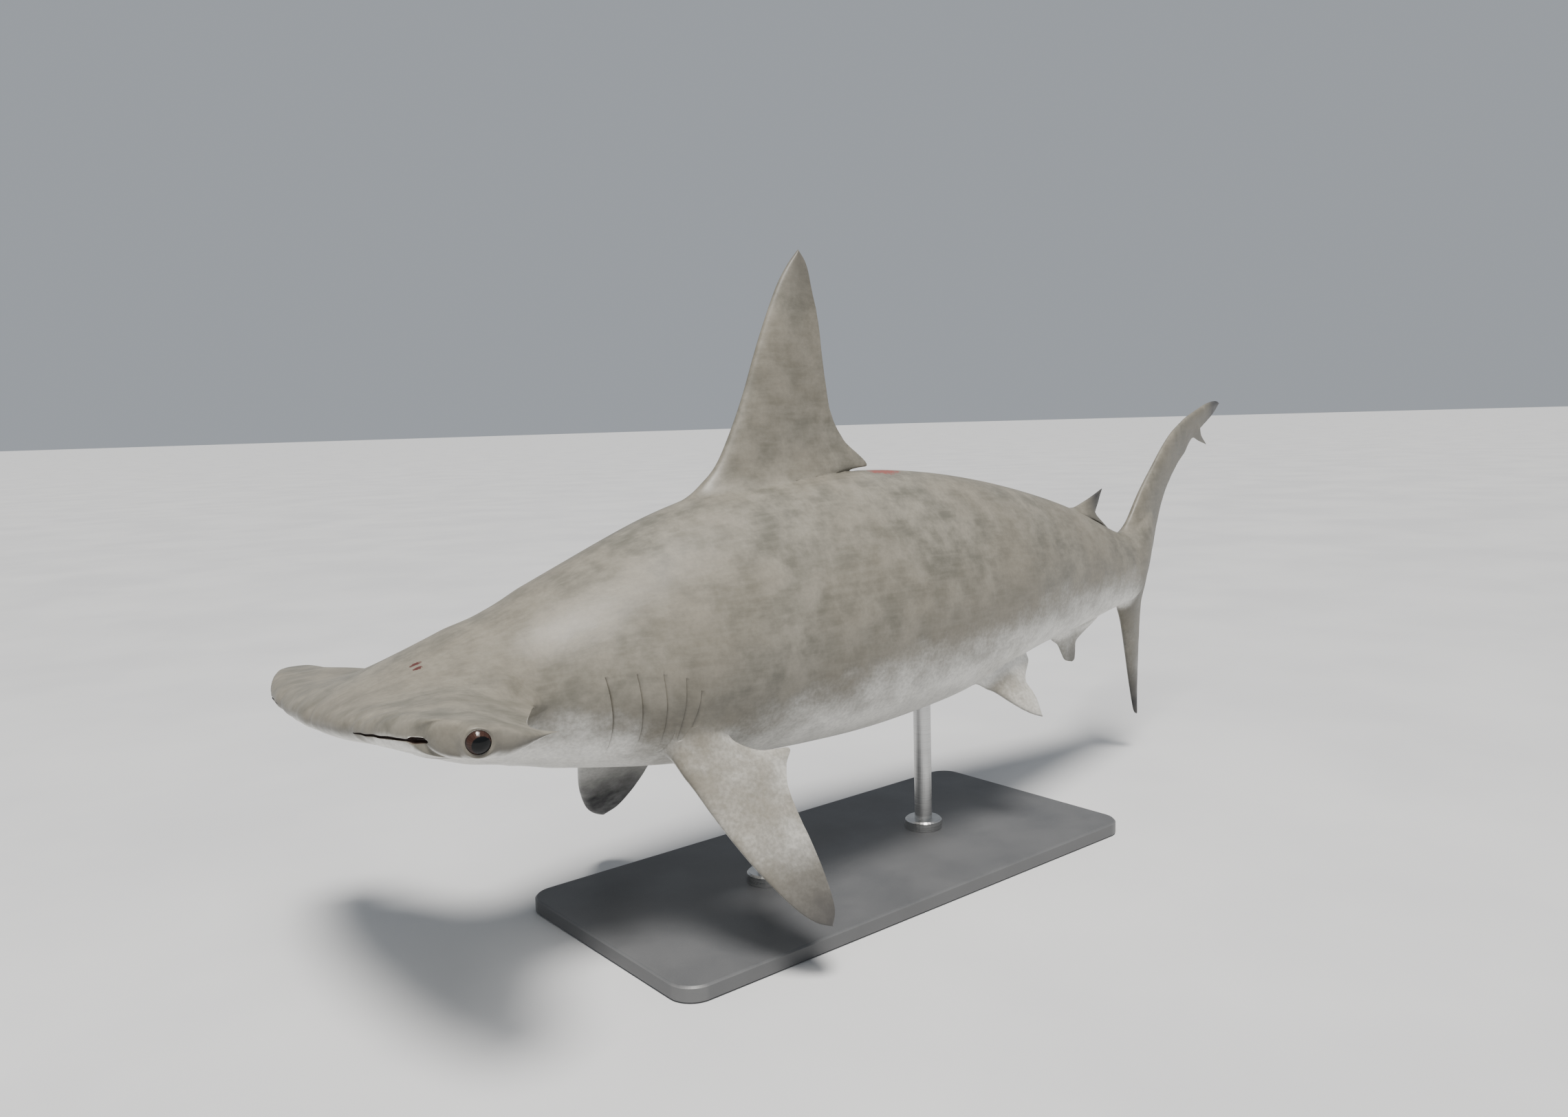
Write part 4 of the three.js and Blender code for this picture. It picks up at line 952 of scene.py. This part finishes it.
# Nostrils: a groove along the front margin that opens in a slit near the end of the wing
NOSTRIL_GROOVE = np.linspace(0.50, 0.962, 90)
NOSTRIL_FROM = 0.855
NOSTRIL_RAMP = 0.03
NOSTRIL_GROWTH = 2.1
GROOVE_AT = 0.002
GROOVE_BACK = 0.010
GROOVE_TURN = 0.003
GROOVE_CUT = [(-1.9, 5), (2.3, 5), (2.1, 0.2), (1.6, -1.6), (0.6, -3.4), (-0.6, -3.8), (-1.4, -2.0),
              (-1.7, 0)]


def margin_path(v):
    """Places and normals along the front margin, a little under its edge."""
    front = head_point(v, GROOVE_AT, False)
    inner = front + np.stack([np.full(len(v), GROOVE_BACK), -GROOVE_TURN * v, np.zeros(len(v))], -1)
    spots = place(front)
    normals = spots - place(inner)
    return spots, normals / np.linalg.norm(normals, axis=-1, keepdims=True)


def cut_nostrils(skin):
    """Cuts the grooves, each opening into a nostril."""
    growth = 1 + NOSTRIL_GROWTH * smooth((NOSTRIL_GROOVE - NOSTRIL_FROM) / NOSTRIL_RAMP)
    for side in (-1, 1):
        hollow_out(skin, ribbon("nostril", *margin_path(side * NOSTRIL_GROOVE), GROOVE_CUT, growth))


# Eyes, each with its lids drawn over a ball that bulges a little
EYE_AT = np.array([0.0291, 0.1434, -0.0058])
EYE_TURN = math.radians(20)
EYE_RADIUS = 0.0165
EYE_GAP = 0.0002
CORNEA_RISE = 0.0009
CORNEA_ANGLE = 0.75
LID_OPENING = 0.0136
LID_EDGE = 0.0006
LID_SWELL = 0.0011
LID_SWELL_AT = 1.22
LID_SWELL_WIDTH = 0.17
LID_FULL = 1.1
LID_REACH = 0.0260
LID_DEPTH = 0.010
LID_FADE = 0.014
EYE_AROUND = 96
SOCKET_RINGS = 41
EYE_RINGS = 97


def eye_axes(side):
    """Centre of an eye, and its outward, rearward and upward directions."""
    turn = float(heading(EYE_AT[0])) + side * EYE_TURN
    out = np.array([-math.sin(turn) * side, math.cos(turn) * side, 0])
    back = np.array([math.cos(turn), math.sin(turn), 0])
    return place(EYE_AT * np.array([1, side, 1])), out, back, np.array([0, 0, 1.0])


def round_rows(side, polar, radius):
    """Rings round an eye's axis at the given angles from its pole."""
    centre, out, back, up = eye_axes(side)
    angle = 2 * np.pi * np.arange(EYE_AROUND) / EYE_AROUND
    ring = np.cos(angle)[:, None] * back + np.sin(angle)[:, None] * up
    across = (radius * np.sin(polar))[:, None, None]
    return centre + across * ring + (radius * np.cos(polar))[:, None, None] * out


def draw_lids(skin, side):
    """Brings the skin round an eye to a level rim, with a soft swelling behind it."""
    centre, out, _, _ = eye_axes(side)
    co = positions(skin.data)
    offset = co - centre
    height = offset @ out
    radius = np.linalg.norm(offset - height[:, None] * out, axis=1)
    rim = math.sqrt(EYE_RADIUS ** 2 - LID_OPENING ** 2) + LID_EDGE
    swell = LID_SWELL * np.exp(-(((radius / LID_OPENING - LID_SWELL_AT) / LID_SWELL_WIDTH) ** 2))
    near = smooth((LID_REACH - radius) / (LID_REACH - LID_FULL * LID_OPENING))
    share = near * smooth((height + LID_DEPTH) / LID_FADE)
    co += (share * (rim + swell - height))[:, None] * out
    set_positions(skin.data, co)


def make_sockets(skin):
    """Draws the lids and hollows the socket of each eye."""
    for side in (-1, 1):
        draw_lids(skin, side)
        polar = np.linspace(0.001, np.pi - 0.001, SOCKET_RINGS)
        hollow_out(skin, tube_object("socket", round_rows(side, polar, EYE_RADIUS + EYE_GAP)))


def eye_object(side):
    """Eyeball with a slightly raised cornea, its pole outward."""
    polar = np.linspace(0.002, np.pi - 0.002, EYE_RINGS)
    radius = EYE_RADIUS + CORNEA_RISE * smooth(1 - polar / CORNEA_ANGLE)
    eye = tube_object("eyeball_" + ("left" if side < 0 else "right"), round_rows(side, polar, radius))
    centre, out, back, up = eye_axes(side)
    offset = (positions(eye.data) - centre) / EYE_RADIUS
    local = np.stack([offset @ back, offset @ up, offset @ out], -1)
    store_attribute(eye.data, "face", "FLOAT_VECTOR", local)
    return eye


# Values for the shaders, kept on the vertices
def store_attribute(mesh, name, kind, values):
    """Adds a vertex attribute."""
    field = "vector" if kind == "FLOAT_VECTOR" else "value"
    mesh.attributes.new(name, kind, "POINT").data.foreach_set(field, np.asarray(values, np.float32).ravel())


# Height of the line between the grey back and the white belly, by station
COUNTERSHADE = np.array([
    [0.00, -0.0115], [0.06, -0.0140], [0.085, -0.0260], [0.12, -0.0330], [0.15, -0.0400], [0.18, -0.0540],
    [0.24, -0.0540], [0.28, -0.0400], [0.40, -0.0260], [0.49, -0.0180], [0.60, -0.0170], [0.70, -0.0180],
    [0.76, -0.0500],
])
COUNTERSHADE_SOFTNESS = np.array([[0.0, 0.003], [0.08, 0.006], [0.14, 0.012], [0.25, 0.016], [0.75, 0.014]])
TONE_LIMIT = 3
TONE_SLOPE = 5
# Wings: where their own tone and the grey face at their ends begin, and how soft the changes are
WING_FROM = 0.070
WING_FADE = 0.025
WING_TO = HAMMER_REAR_AT + 0.02
WING_GREY = 0.15
END_FACE_FROM = 0.110
END_FACE_FADE = 0.012
# Back grey carried onto the ends of the hammer: partly the skin's own grey, partly painted shade
END_FACE_GREY_AND_SHADE = 0.45
# Painted shade on the outward-facing ends of the hammer: depth, fade, rear limit and how far they face out
END_FACE_PAINTED_SHADE = 0.30
END_FACE_SHADE_FADE = 0.02
END_FACE_SHADE_TO = HAMMER_REAR_AT + 0.01
SHADE_FACING_FROM = 0.45
SHADE_FACING_RISE = 0.4
LID_TONE = 1.0
# Painted shade round the rims of the eyelids
LID_PAINTED_SHADE = 0.40
LID_SHADE_END = 1.30
LID_SHADE_FADE = 0.22
FIN_FADE = 0.010

# Dusky tips: place, reach and depth
DARK_TIPS = [
    ((0.3262, 0, 0.2445), 0.050, 0.40),
    ((0.2333, -0.1250, -0.1460), 0.075, 0.90),
    ((0.2333, 0.1300, -0.1450), 0.105, 1.60),
    ((0.9908, -0.004, 0.1407), 0.085, 1.80),
    ((0.7550, 0.0075, -0.1465), 0.090, 1.10),
    ((0.6722, 0, 0.0693), 0.042, 1.30),
    ((0.6235, 0, -0.0735), 0.020, 0.45),
    ((0.4965, -0.062, -0.0862), 0.020, 0.25),
    ((0.4965, 0.062, -0.0862), 0.020, 0.25),
]
# Tone of the upright fins, and the most that the tops of the paired fins reach
FIN_TONE = {
    "first_dorsal": 2.2,
    "second_dorsal": 2.2,
    "tail_upper": 2.2,
    "tail_end": 2.4,
    "tail_lower": 1.3,
    "anal": 0.5,
}
FIN_TOP_LIMIT = {"pectoral_left": 0.8, "pectoral_right": 0.8, "pelvic_left": 0.1, "pelvic_right": 0.1}


def straight_normals(mesh, t):
    """Vertex normals turned back to the straight frame."""
    normals = np.empty(len(mesh.vertices) * 3)
    mesh.vertices.foreach_get("normal", normals)
    nx, ny, nz = normals.reshape(-1, 3).T
    turn = heading(t)
    return np.stack([nx * np.cos(turn) + ny * np.sin(turn), ny * np.cos(turn) - nx * np.sin(turn), nz], -1)


def lid_share(rest):
    """Soft share from 1 at the rim of the lids to 0 a little way out."""
    folded = np.stack([rest[:, 0], np.abs(rest[:, 1]), rest[:, 2]], -1)
    distance = np.linalg.norm(folded - EYE_AT, axis=1)
    return smooth((LID_SHADE_END - distance * TOTAL_LENGTH / LID_OPENING) / LID_SHADE_FADE)


def skin_tone(mesh, rest):
    """Grey above zero and white below it, on the body by height and on the fins by side."""
    t, y, z = rest.T
    tone = (z - np.interp(t, *COUNTERSHADE.T)) / np.interp(t, *COUNTERSHADE_SOFTNESS.T)
    normals = straight_normals(mesh, t)
    wing = smooth((np.abs(y) - WING_FROM) / WING_FADE) * (t < WING_TO)
    # Grey on the hammer's ends: partly the skin's own, partly painted shade
    grey = WING_GREY + END_FACE_GREY_AND_SHADE * smooth((np.abs(y) - END_FACE_FROM) / END_FACE_FADE)
    tone += wing * (TONE_SLOPE * (normals[:, 2] + grey) - tone)
    tone += lid_share(rest) * (LID_TONE - tone)
    part = vertex_parts(mesh)[1]
    away = smooth(body_clearance(rest) / FIN_FADE)
    first_fin = 2
    for index, (name, form) in enumerate(FINS.items(), first_fin):
        if name in FIN_TONE:
            target = FIN_TONE[name]
        else:
            top = np.array(form["normal"]) * side_turn(form)
            facing = normals @ (top / np.linalg.norm(top))
            target = np.minimum(TONE_SLOPE * facing, FIN_TOP_LIMIT[name])
        tone += away * (part == index) * (target - tone)
    return np.clip(tone, -TONE_LIMIT, TONE_LIMIT)


def dusk_and_painted_shade(rest, normals):
    """Dusky fin tips, and painted shade round the eyelids and on the hammer's ends."""
    dusk_and_shade = np.zeros(len(rest))
    for spot, reach, depth in DARK_TIPS:
        distance = np.linalg.norm(rest - np.array(spot), axis=1)
        dusk_and_shade = np.maximum(dusk_and_shade, np.minimum(depth * smooth(1 - distance / reach), 1))
    # Painted shade round the rims of the eyelids
    dusk_and_shade = np.maximum(dusk_and_shade, LID_PAINTED_SHADE * lid_share(rest))
    # Painted shade on the outward-facing ends of the hammer
    outward = smooth((np.abs(normals[:, 1]) - SHADE_FACING_FROM) / SHADE_FACING_RISE)
    outward *= smooth((np.abs(rest[:, 1]) - END_FACE_FROM) / END_FACE_SHADE_FADE)
    return np.maximum(dusk_and_shade, END_FACE_PAINTED_SHADE * outward * (rest[:, 0] < END_FACE_SHADE_TO))


def store_skin_values(skin):
    """Keeps each vertex's place in the straight frame, its tone, and its dusky tips with painted shade."""
    mesh = skin.data
    rest = unplace(positions(mesh))
    store_attribute(mesh, "rest", "FLOAT_VECTOR", rest)
    store_attribute(mesh, "tone", "FLOAT", skin_tone(mesh, rest))
    store_attribute(mesh, "dusk_and_painted_shade", "FLOAT", dusk_and_painted_shade(rest, straight_normals(mesh, rest[:, 0])))
    hollow = len(mesh.materials) - 1
    store_attribute(mesh, "hollow", "FLOAT", vertex_parts(mesh)[0] == hollow)


# Materials
def new_material(name):
    """A node material and its main shader."""
    material = bpy.data.materials.new(name)
    material.use_nodes = True
    return material, material.node_tree, material.node_tree.nodes["Principled BSDF"]


def add(tree, kind, inputs=(), **settings):
    """A node with its settings and inputs; an input is a value or another node's output."""
    node = tree.nodes.new("ShaderNode" + kind)
    for name, value in settings.items():
        setattr(node, name, value)
    for socket, value in dict(inputs).items():
        if isinstance(value, bpy.types.NodeSocket):
            tree.links.new(value, node.inputs[socket])
        else:
            node.inputs[socket].default_value = value
    return node


def attribute(tree, name):
    """Reads a vertex attribute."""
    return add(tree, "Attribute", attribute_name=name)


def vector_math(tree, operation, a, b=(0, 0, 0), result="Vector"):
    """Arithmetic on two vectors."""
    return add(tree, "VectorMath", {0: a, 1: b}, operation=operation).outputs[result]


def scaled(tree, vector, scale):
    """A vector times a scale for each axis."""
    return vector_math(tree, "MULTIPLY", vector, scale)


def length(tree, vector):
    """Length of a vector."""
    return vector_math(tree, "LENGTH", vector, result="Value")


def noise(tree, vector, scale, detail=3.0, roughness=0.55):
    """Noise from 0 to 1."""
    inputs = {"Vector": vector, "Scale": scale, "Detail": detail, "Roughness": roughness}
    return add(tree, "TexNoise", inputs).outputs["Fac"]


def ramp(tree, value, low, high, to_low=0.0, to_high=1.0):
    """A soft step of a value between two limits."""
    inputs = {"Value": value, "From Min": low, "From Max": high, "To Min": to_low, "To Max": to_high}
    return add(tree, "MapRange", inputs, interpolation_type="SMOOTHSTEP").outputs["Result"]


def math_node(tree, operation, a, b=0.0):
    """Arithmetic on two values."""
    return add(tree, "Math", {0: a, 1: b}, operation=operation).outputs[0]


def mix(tree, factor, a, b, kind="MIX"):
    """Mix of two colours."""
    node = add(tree, "Mix", data_type="RGBA", blend_type=kind)
    for socket, value in ((node.inputs[0], factor), (node.inputs[6], a), (node.inputs[7], b)):
        if isinstance(value, bpy.types.NodeSocket):
            tree.links.new(value, socket)
        else:
            socket.default_value = value
    return node.outputs[2]


def finish(tree, shader, colour, roughness, bump=None):
    """Feeds a shader's colour, its roughness and a bump: height, strength and depth in metres."""
    tree.links.new(colour, shader.inputs["Base Color"])
    tree.links.new(roughness, shader.inputs["Roughness"])
    if bump:
        height, strength, depth = bump
        relief = add(tree, "Bump", {"Height": height, "Strength": strength, "Distance": depth})
        tree.links.new(relief.outputs["Normal"], shader.inputs["Normal"])


def gloss(shader, coat, coat_roughness, specular):
    """Sets the shader's coat and specular level."""
    shader.inputs["Coat Weight"].default_value = coat
    shader.inputs["Coat Roughness"].default_value = coat_roughness
    shader.inputs["Specular IOR Level"].default_value = specular


# Colours of the skin, linear
BACK_DARK = (0.080, 0.077, 0.062, 1)
BACK_PALE = (0.215, 0.200, 0.166, 1)
FLANK_BRONZE = (0.154, 0.136, 0.104, 1)
# Inside the cut hollows: dark flesh, with painted shade of the recesses
HOLLOW_FLESH_AND_SHADE = (0.030, 0.016, 0.012, 1)
BELLY_WHITE = (0.760, 0.745, 0.700, 1)
BELLY_SHADE = (0.600, 0.590, 0.555, 1)
DUSK_AND_SHADE_COLOUR = (0.030, 0.029, 0.030, 1)
SCRATCH_RED = (0.055, 0.007, 0.006, 1)
RAW_RED = (0.190, 0.052, 0.042, 1)
# Fresh scratches on the head and the raw strip behind the first dorsal fin: centre, half sizes and colour
SCARS = [
    ((0.0487, -0.0219, 0.0140), (0.0030, 0.0016, 0.0100), SCRATCH_RED),
    ((0.0480, -0.0267, 0.0125), (0.0029, 0.0015, 0.0100), SCRATCH_RED),
    ((0.3935, -0.0070, 0.0975), (0.0150, 0.0062, 0.0060), RAW_RED),
]


def skin_material():
    """Grey-brown back, white belly, dusky tips, painted shade, mottling, pores and a fine grain."""
    material, tree, shader = new_material("shark_skin")
    rest = attribute(tree, "rest").outputs["Vector"]
    tone = attribute(tree, "tone").outputs["Fac"]
    dusk_and_shade = attribute(tree, "dusk_and_painted_shade").outputs["Fac"]
    cloud = noise(tree, rest, 14, 4)
    blotch = noise(tree, rest, 55, 4, 0.6)
    speckle = noise(tree, rest, 420, 3, 0.6)
    streak = noise(tree, scaled(tree, rest, (1, 7, 7)), 38, 4, 0.6)
    back = mix(tree, ramp(tree, blotch, 0.30, 0.72, 0.12, 0.88), BACK_DARK, BACK_PALE)
    back = mix(tree, ramp(tree, cloud, 0.35, 0.65, 0, 0.5), back, FLANK_BRONZE)
    back = mix(tree, ramp(tree, streak, 0.35, 0.75, 0, 0.35), back, BACK_PALE)
    belly = mix(tree, ramp(tree, blotch, 0.35, 0.75), BELLY_WHITE, BELLY_SHADE)
    edge = math_node(tree, "ADD", tone, ramp(tree, cloud, 0.2, 0.8, -0.6, 0.6))
    edge = math_node(tree, "ADD", edge, ramp(tree, blotch, 0.2, 0.8, -0.35, 0.35))
    edge = math_node(tree, "ADD", edge, ramp(tree, speckle, 0.2, 0.8, -0.12, 0.12))
    colour = mix(tree, ramp(tree, edge, -1.5, 1.5), belly, back)
    colour = mix(tree, ramp(tree, speckle, 0.30, 0.75, 0.0, 0.22), colour, BACK_DARK)
    # Dusky fin tips, with the painted shade round the eyelids and on the hammer's ends
    dusk_and_shade_depth = math_node(tree, "MULTIPLY", dusk_and_shade, ramp(tree, blotch, 0.2, 0.7, 0.75, 1.05))
    colour = mix(tree, dusk_and_shade_depth, colour, DUSK_AND_SHADE_COLOUR)
    for centre, size, red in SCARS:
        away = scaled(tree, vector_math(tree, "SUBTRACT", rest, centre), tuple(1 / k for k in size))
        ragged = math_node(tree, "ADD", length(tree, away), ramp(tree, speckle, 0.2, 0.8, -0.5, 0.5))
        colour = mix(tree, ramp(tree, ragged, 1.05, 0.75, 0, 0.92), colour, red)
    # Inside the gill slits, mouth, nostrils and sockets: dark flesh, with painted shade of the recesses
    colour = mix(tree, attribute(tree, "hollow").outputs["Fac"], colour, HOLLOW_FLESH_AND_SHADE)
    grain = noise(tree, scaled(tree, rest, (1, 1.6, 1.6)), 1500, 2)
    wrinkle = noise(tree, scaled(tree, rest, (1, 3, 3)), 150, 4, 0.6)
    fine = math_node(tree, "MULTIPLY", grain, 0.35)
    height = math_node(tree, "ADD", fine, math_node(tree, "MULTIPLY", wrinkle, 1.2))
    finish(tree, shader, colour, ramp(tree, blotch, 0.2, 0.8, 0.40, 0.56), (height, 0.22, 0.0008))
    gloss(shader, 0.06, 0.35, 0.35)
    return material


# Eye: the pupil's centre in radii of the ball, and colours, linear
PUPIL_AT = (0.15, -0.17, 0.0)
IRIS_BROWN = (0.022, 0.010, 0.008, 1)
IRIS_PALE = (0.055, 0.030, 0.022, 1)
IRIS_RIM = (0.012, 0.009, 0.008, 1)
PUPIL_BLACK = (0.003, 0.0035, 0.004, 1)


def eye_material():
    """Red-brown iris with radial fibres, a large pupil and a wet coat."""
    material, tree, shader = new_material("shark_eye")
    face = attribute(tree, "face").outputs["Vector"]
    flat = scaled(tree, face, (1, 1, 0))
    from_pupil = vector_math(tree, "SUBTRACT", flat, PUPIL_AT)
    ray = vector_math(tree, "NORMALIZE", from_pupil)
    fibres = noise(tree, scaled(tree, ray, (9, 9, 9)), 1.0, 5, 0.7)
    cloud = noise(tree, face, 7, 3)
    iris = mix(tree, ramp(tree, fibres, 0.35, 0.68), IRIS_BROWN, IRIS_PALE)
    iris = mix(tree, ramp(tree, cloud, 0.3, 0.7, 0, 0.5), iris, IRIS_BROWN)
    iris = mix(tree, ramp(tree, length(tree, flat), 0.70, 0.84), iris, IRIS_RIM)
    edge = math_node(tree, "ADD", length(tree, from_pupil), ramp(tree, fibres, 0.3, 0.7, -0.012, 0.012))
    colour = mix(tree, ramp(tree, edge, 0.64, 0.59), iris, PUPIL_BLACK)
    finish(tree, shader, colour, ramp(tree, cloud, 0.2, 0.8, 0.12, 0.2))
    gloss(shader, 0.12, 0.10, 0.15)
    return material


# Colours of the stand and the floor, linear
PAINT_DARK = (0.040, 0.042, 0.046, 1)
PAINT_SOFT = (0.060, 0.062, 0.066, 1)
PAINT_FLECK = (0.110, 0.112, 0.115, 1)
PAINT_RUBBED = (0.210, 0.210, 0.205, 1)
STEEL_DARK = (0.430, 0.430, 0.425, 1)
STEEL_PALE = (0.620, 0.620, 0.610, 1)
FLOOR_DARK = (0.500, 0.505, 0.515, 1)
FLOOR_PALE = (0.540, 0.545, 0.550, 1)


def painted_material():
    """Dark satin paint with a fine texture and edges rubbed a little paler."""
    material, tree, shader = new_material("stand_paint")
    place_at = add(tree, "NewGeometry").outputs["Position"]
    cloud = noise(tree, place_at, 9, 4)
    grain = noise(tree, place_at, 900, 2)
    colour = mix(tree, ramp(tree, cloud, 0.3, 0.7), PAINT_DARK, PAINT_SOFT)
    colour = mix(tree, ramp(tree, grain, 0.45, 0.80, 0, 0.35), colour, PAINT_FLECK)
    edges = add(tree, "NewGeometry").outputs["Pointiness"]
    colour = mix(tree, ramp(tree, edges, 0.52, 0.60, 0, 0.5), colour, PAINT_RUBBED)
    finish(tree, shader, colour, ramp(tree, cloud, 0.25, 0.75, 0.42, 0.58), (grain, 0.12, 0.0005))
    return material


def steel_material():
    """Brushed steel, its fine lines running round the rods."""
    material, tree, shader = new_material("stand_steel")
    place_at = add(tree, "NewGeometry").outputs["Position"]
    lines = noise(tree, scaled(tree, place_at, (6, 6, 420)), 3.0, 5, 0.7)
    cloud = noise(tree, place_at, 22, 4)
    colour = mix(tree, ramp(tree, lines, 0.3, 0.7), STEEL_DARK, STEEL_PALE)
    shader.inputs["Metallic"].default_value = 1.0
    worn = ramp(tree, cloud, 0.3, 0.7, 0.0, 0.08)
    rough = math_node(tree, "ADD", ramp(tree, lines, 0.3, 0.7, 0.24, 0.36), worn)
    finish(tree, shader, colour, rough, (lines, 0.08, 0.0003))
    return material


def floor_material():
    """Pale studio floor with a faint unevenness."""
    material, tree, shader = new_material("studio_floor")
    place_at = add(tree, "NewGeometry").outputs["Position"]
    cloud = noise(tree, place_at, 1.4, 4)
    colour = mix(tree, ramp(tree, cloud, 0.3, 0.7), FLOOR_DARK, FLOOR_PALE)
    finish(tree, shader, colour, ramp(tree, cloud, 0.3, 0.7, 0.62, 0.72))
    return material


# The shark: its skin in one piece, and its eyes
SHARP_ANGLE = math.radians(38)

skin = joined_skin()
swell_gill_flaps(skin)
cut_gills(skin)
make_mouth(skin)
cut_nostrils(skin)
make_sockets(skin)
store_skin_values(skin)
skin.data.materials.clear()
skin.data.materials.append(skin_material())
mark_faces(skin, 0)
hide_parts("head", "neck_and_gills", "chest", "abdomen", "tail_stem", "first_dorsal_fin",
            "second_dorsal_fin", "anal_fin", "pectoral_fin_left", "pectoral_fin_right", "pelvic_fin_left",
            "pelvic_fin_right", "caudal_fin_upper_lobe", "caudal_fin_lower_lobe")
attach(skin, "root")
shade_smooth(skin)
skin.data.set_sharp_from_angle(angle=SHARP_ANGLE)
eye_finish = eye_material()
for side, node in ((-1, "eye_left"), (1, "eye_right")):
    eye = eye_object(side)
    shade_smooth(eye)
    eye.data.materials.append(eye_finish)
    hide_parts(node)
    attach(eye, "root")

# Camera at the photograph's place
CAMERA_AT = (-0.1779, -0.59345, 0.13251)
CAMERA_YAW = math.radians(39.2488)
CAMERA_PITCH = math.radians(6.5702)
CAMERA_ROLL = math.radians(-1.6383)
FOCAL_LENGTH = 26.888
SENSOR_WIDTH = 36


def add_camera():
    """Camera with the photograph's view."""
    ahead = math.cos(CAMERA_PITCH)
    look = Vector((math.sin(CAMERA_YAW) * ahead, math.cos(CAMERA_YAW) * ahead, -math.sin(CAMERA_PITCH)))
    level = Vector((math.cos(CAMERA_YAW), -math.sin(CAMERA_YAW), 0))
    upright = level.cross(look)
    right = math.cos(CAMERA_ROLL) * level + math.sin(CAMERA_ROLL) * upright
    up = -math.sin(CAMERA_ROLL) * level + math.cos(CAMERA_ROLL) * upright
    data = bpy.data.cameras.new("camera")
    data.sensor_width = SENSOR_WIDTH
    data.lens = FOCAL_LENGTH
    camera = bpy.data.objects.new("camera", data)
    x, y, z = CAMERA_AT
    spot = Vector(((x - STAND_CENTRE_X) * TOTAL_LENGTH, y * TOTAL_LENGTH, z * TOTAL_LENGTH + AXIS_HEIGHT))
    turn = Matrix((right, up, -look)).transposed().to_4x4()
    camera.matrix_world = Matrix.Translation(spot) @ turn
    bpy.context.scene.camera = link(camera)


# Lights: an even one from one side of the sky, a square soft one nearer by, and a pale surround
SKY_WAY = (0.20, 0.34, -1)
SKY_STRENGTH = 5.4
SKY_SPREAD = math.radians(18)
SKY_COLOUR = (1, 0.965, 0.915)
KEY_AT = (-1.3, -1.7, 3.6)
KEY_TARGET = (-0.3, 0, 0.4)
KEY_SIZE = 1.6
KEY_POWER = 90
KEY_COLOUR = (1, 0.98, 0.95)
SURROUND_COLOUR = (0.86, 0.92, 1, 1)
SURROUND_STRENGTH = 0.42


def add_light(name, kind, spot, way, colour, energy, **settings):
    """A light at a place, shining one way."""
    data = bpy.data.lights.new(name, kind)
    data.color = colour
    data.energy = energy
    for setting, value in settings.items():
        setattr(data, setting, value)
    lamp = bpy.data.objects.new(name, data)
    lamp.matrix_world = Matrix.Translation(spot) @ way.to_track_quat("-Z", "Y").to_matrix().to_4x4()
    link(lamp)


def add_surround():
    """Pale even light from all sides."""
    world = bpy.data.worlds.new("studio")
    world.use_nodes = True
    background = world.node_tree.nodes["Background"]
    background.inputs["Color"].default_value = SURROUND_COLOUR
    background.inputs["Strength"].default_value = SURROUND_STRENGTH
    bpy.context.scene.world = world


add_camera()
add_light("sky_light", "SUN", (0, 0, 0), Vector(SKY_WAY), SKY_COLOUR, SKY_STRENGTH, angle=SKY_SPREAD)
add_light("key", "AREA", KEY_AT, Vector(KEY_TARGET) - Vector(KEY_AT), KEY_COLOUR, KEY_POWER,
          shape="SQUARE", size=KEY_SIZE)
add_surround()

# Floor
FLOOR_HALF = 200
floor_mesh = bpy.data.meshes.new("floor")
corners = [(-FLOOR_HALF, -FLOOR_HALF, 0), (FLOOR_HALF, -FLOOR_HALF, 0), (FLOOR_HALF, FLOOR_HALF, 0),
           (-FLOOR_HALF, FLOOR_HALF, 0)]
floor_mesh.from_pydata(corners, [], [(0, 1, 2, 3)])
floor_mesh.materials.append(floor_material())
floor = link(bpy.data.objects.new("floor", floor_mesh))

# Stand
paint = painted_material()
steel = steel_material()
for node, coating in (("stand_base", paint), ("stand_rod_front", steel), ("stand_rod_rear", steel)):
    for slot in bpy.data.objects[node].material_slots:
        slot.material = coating
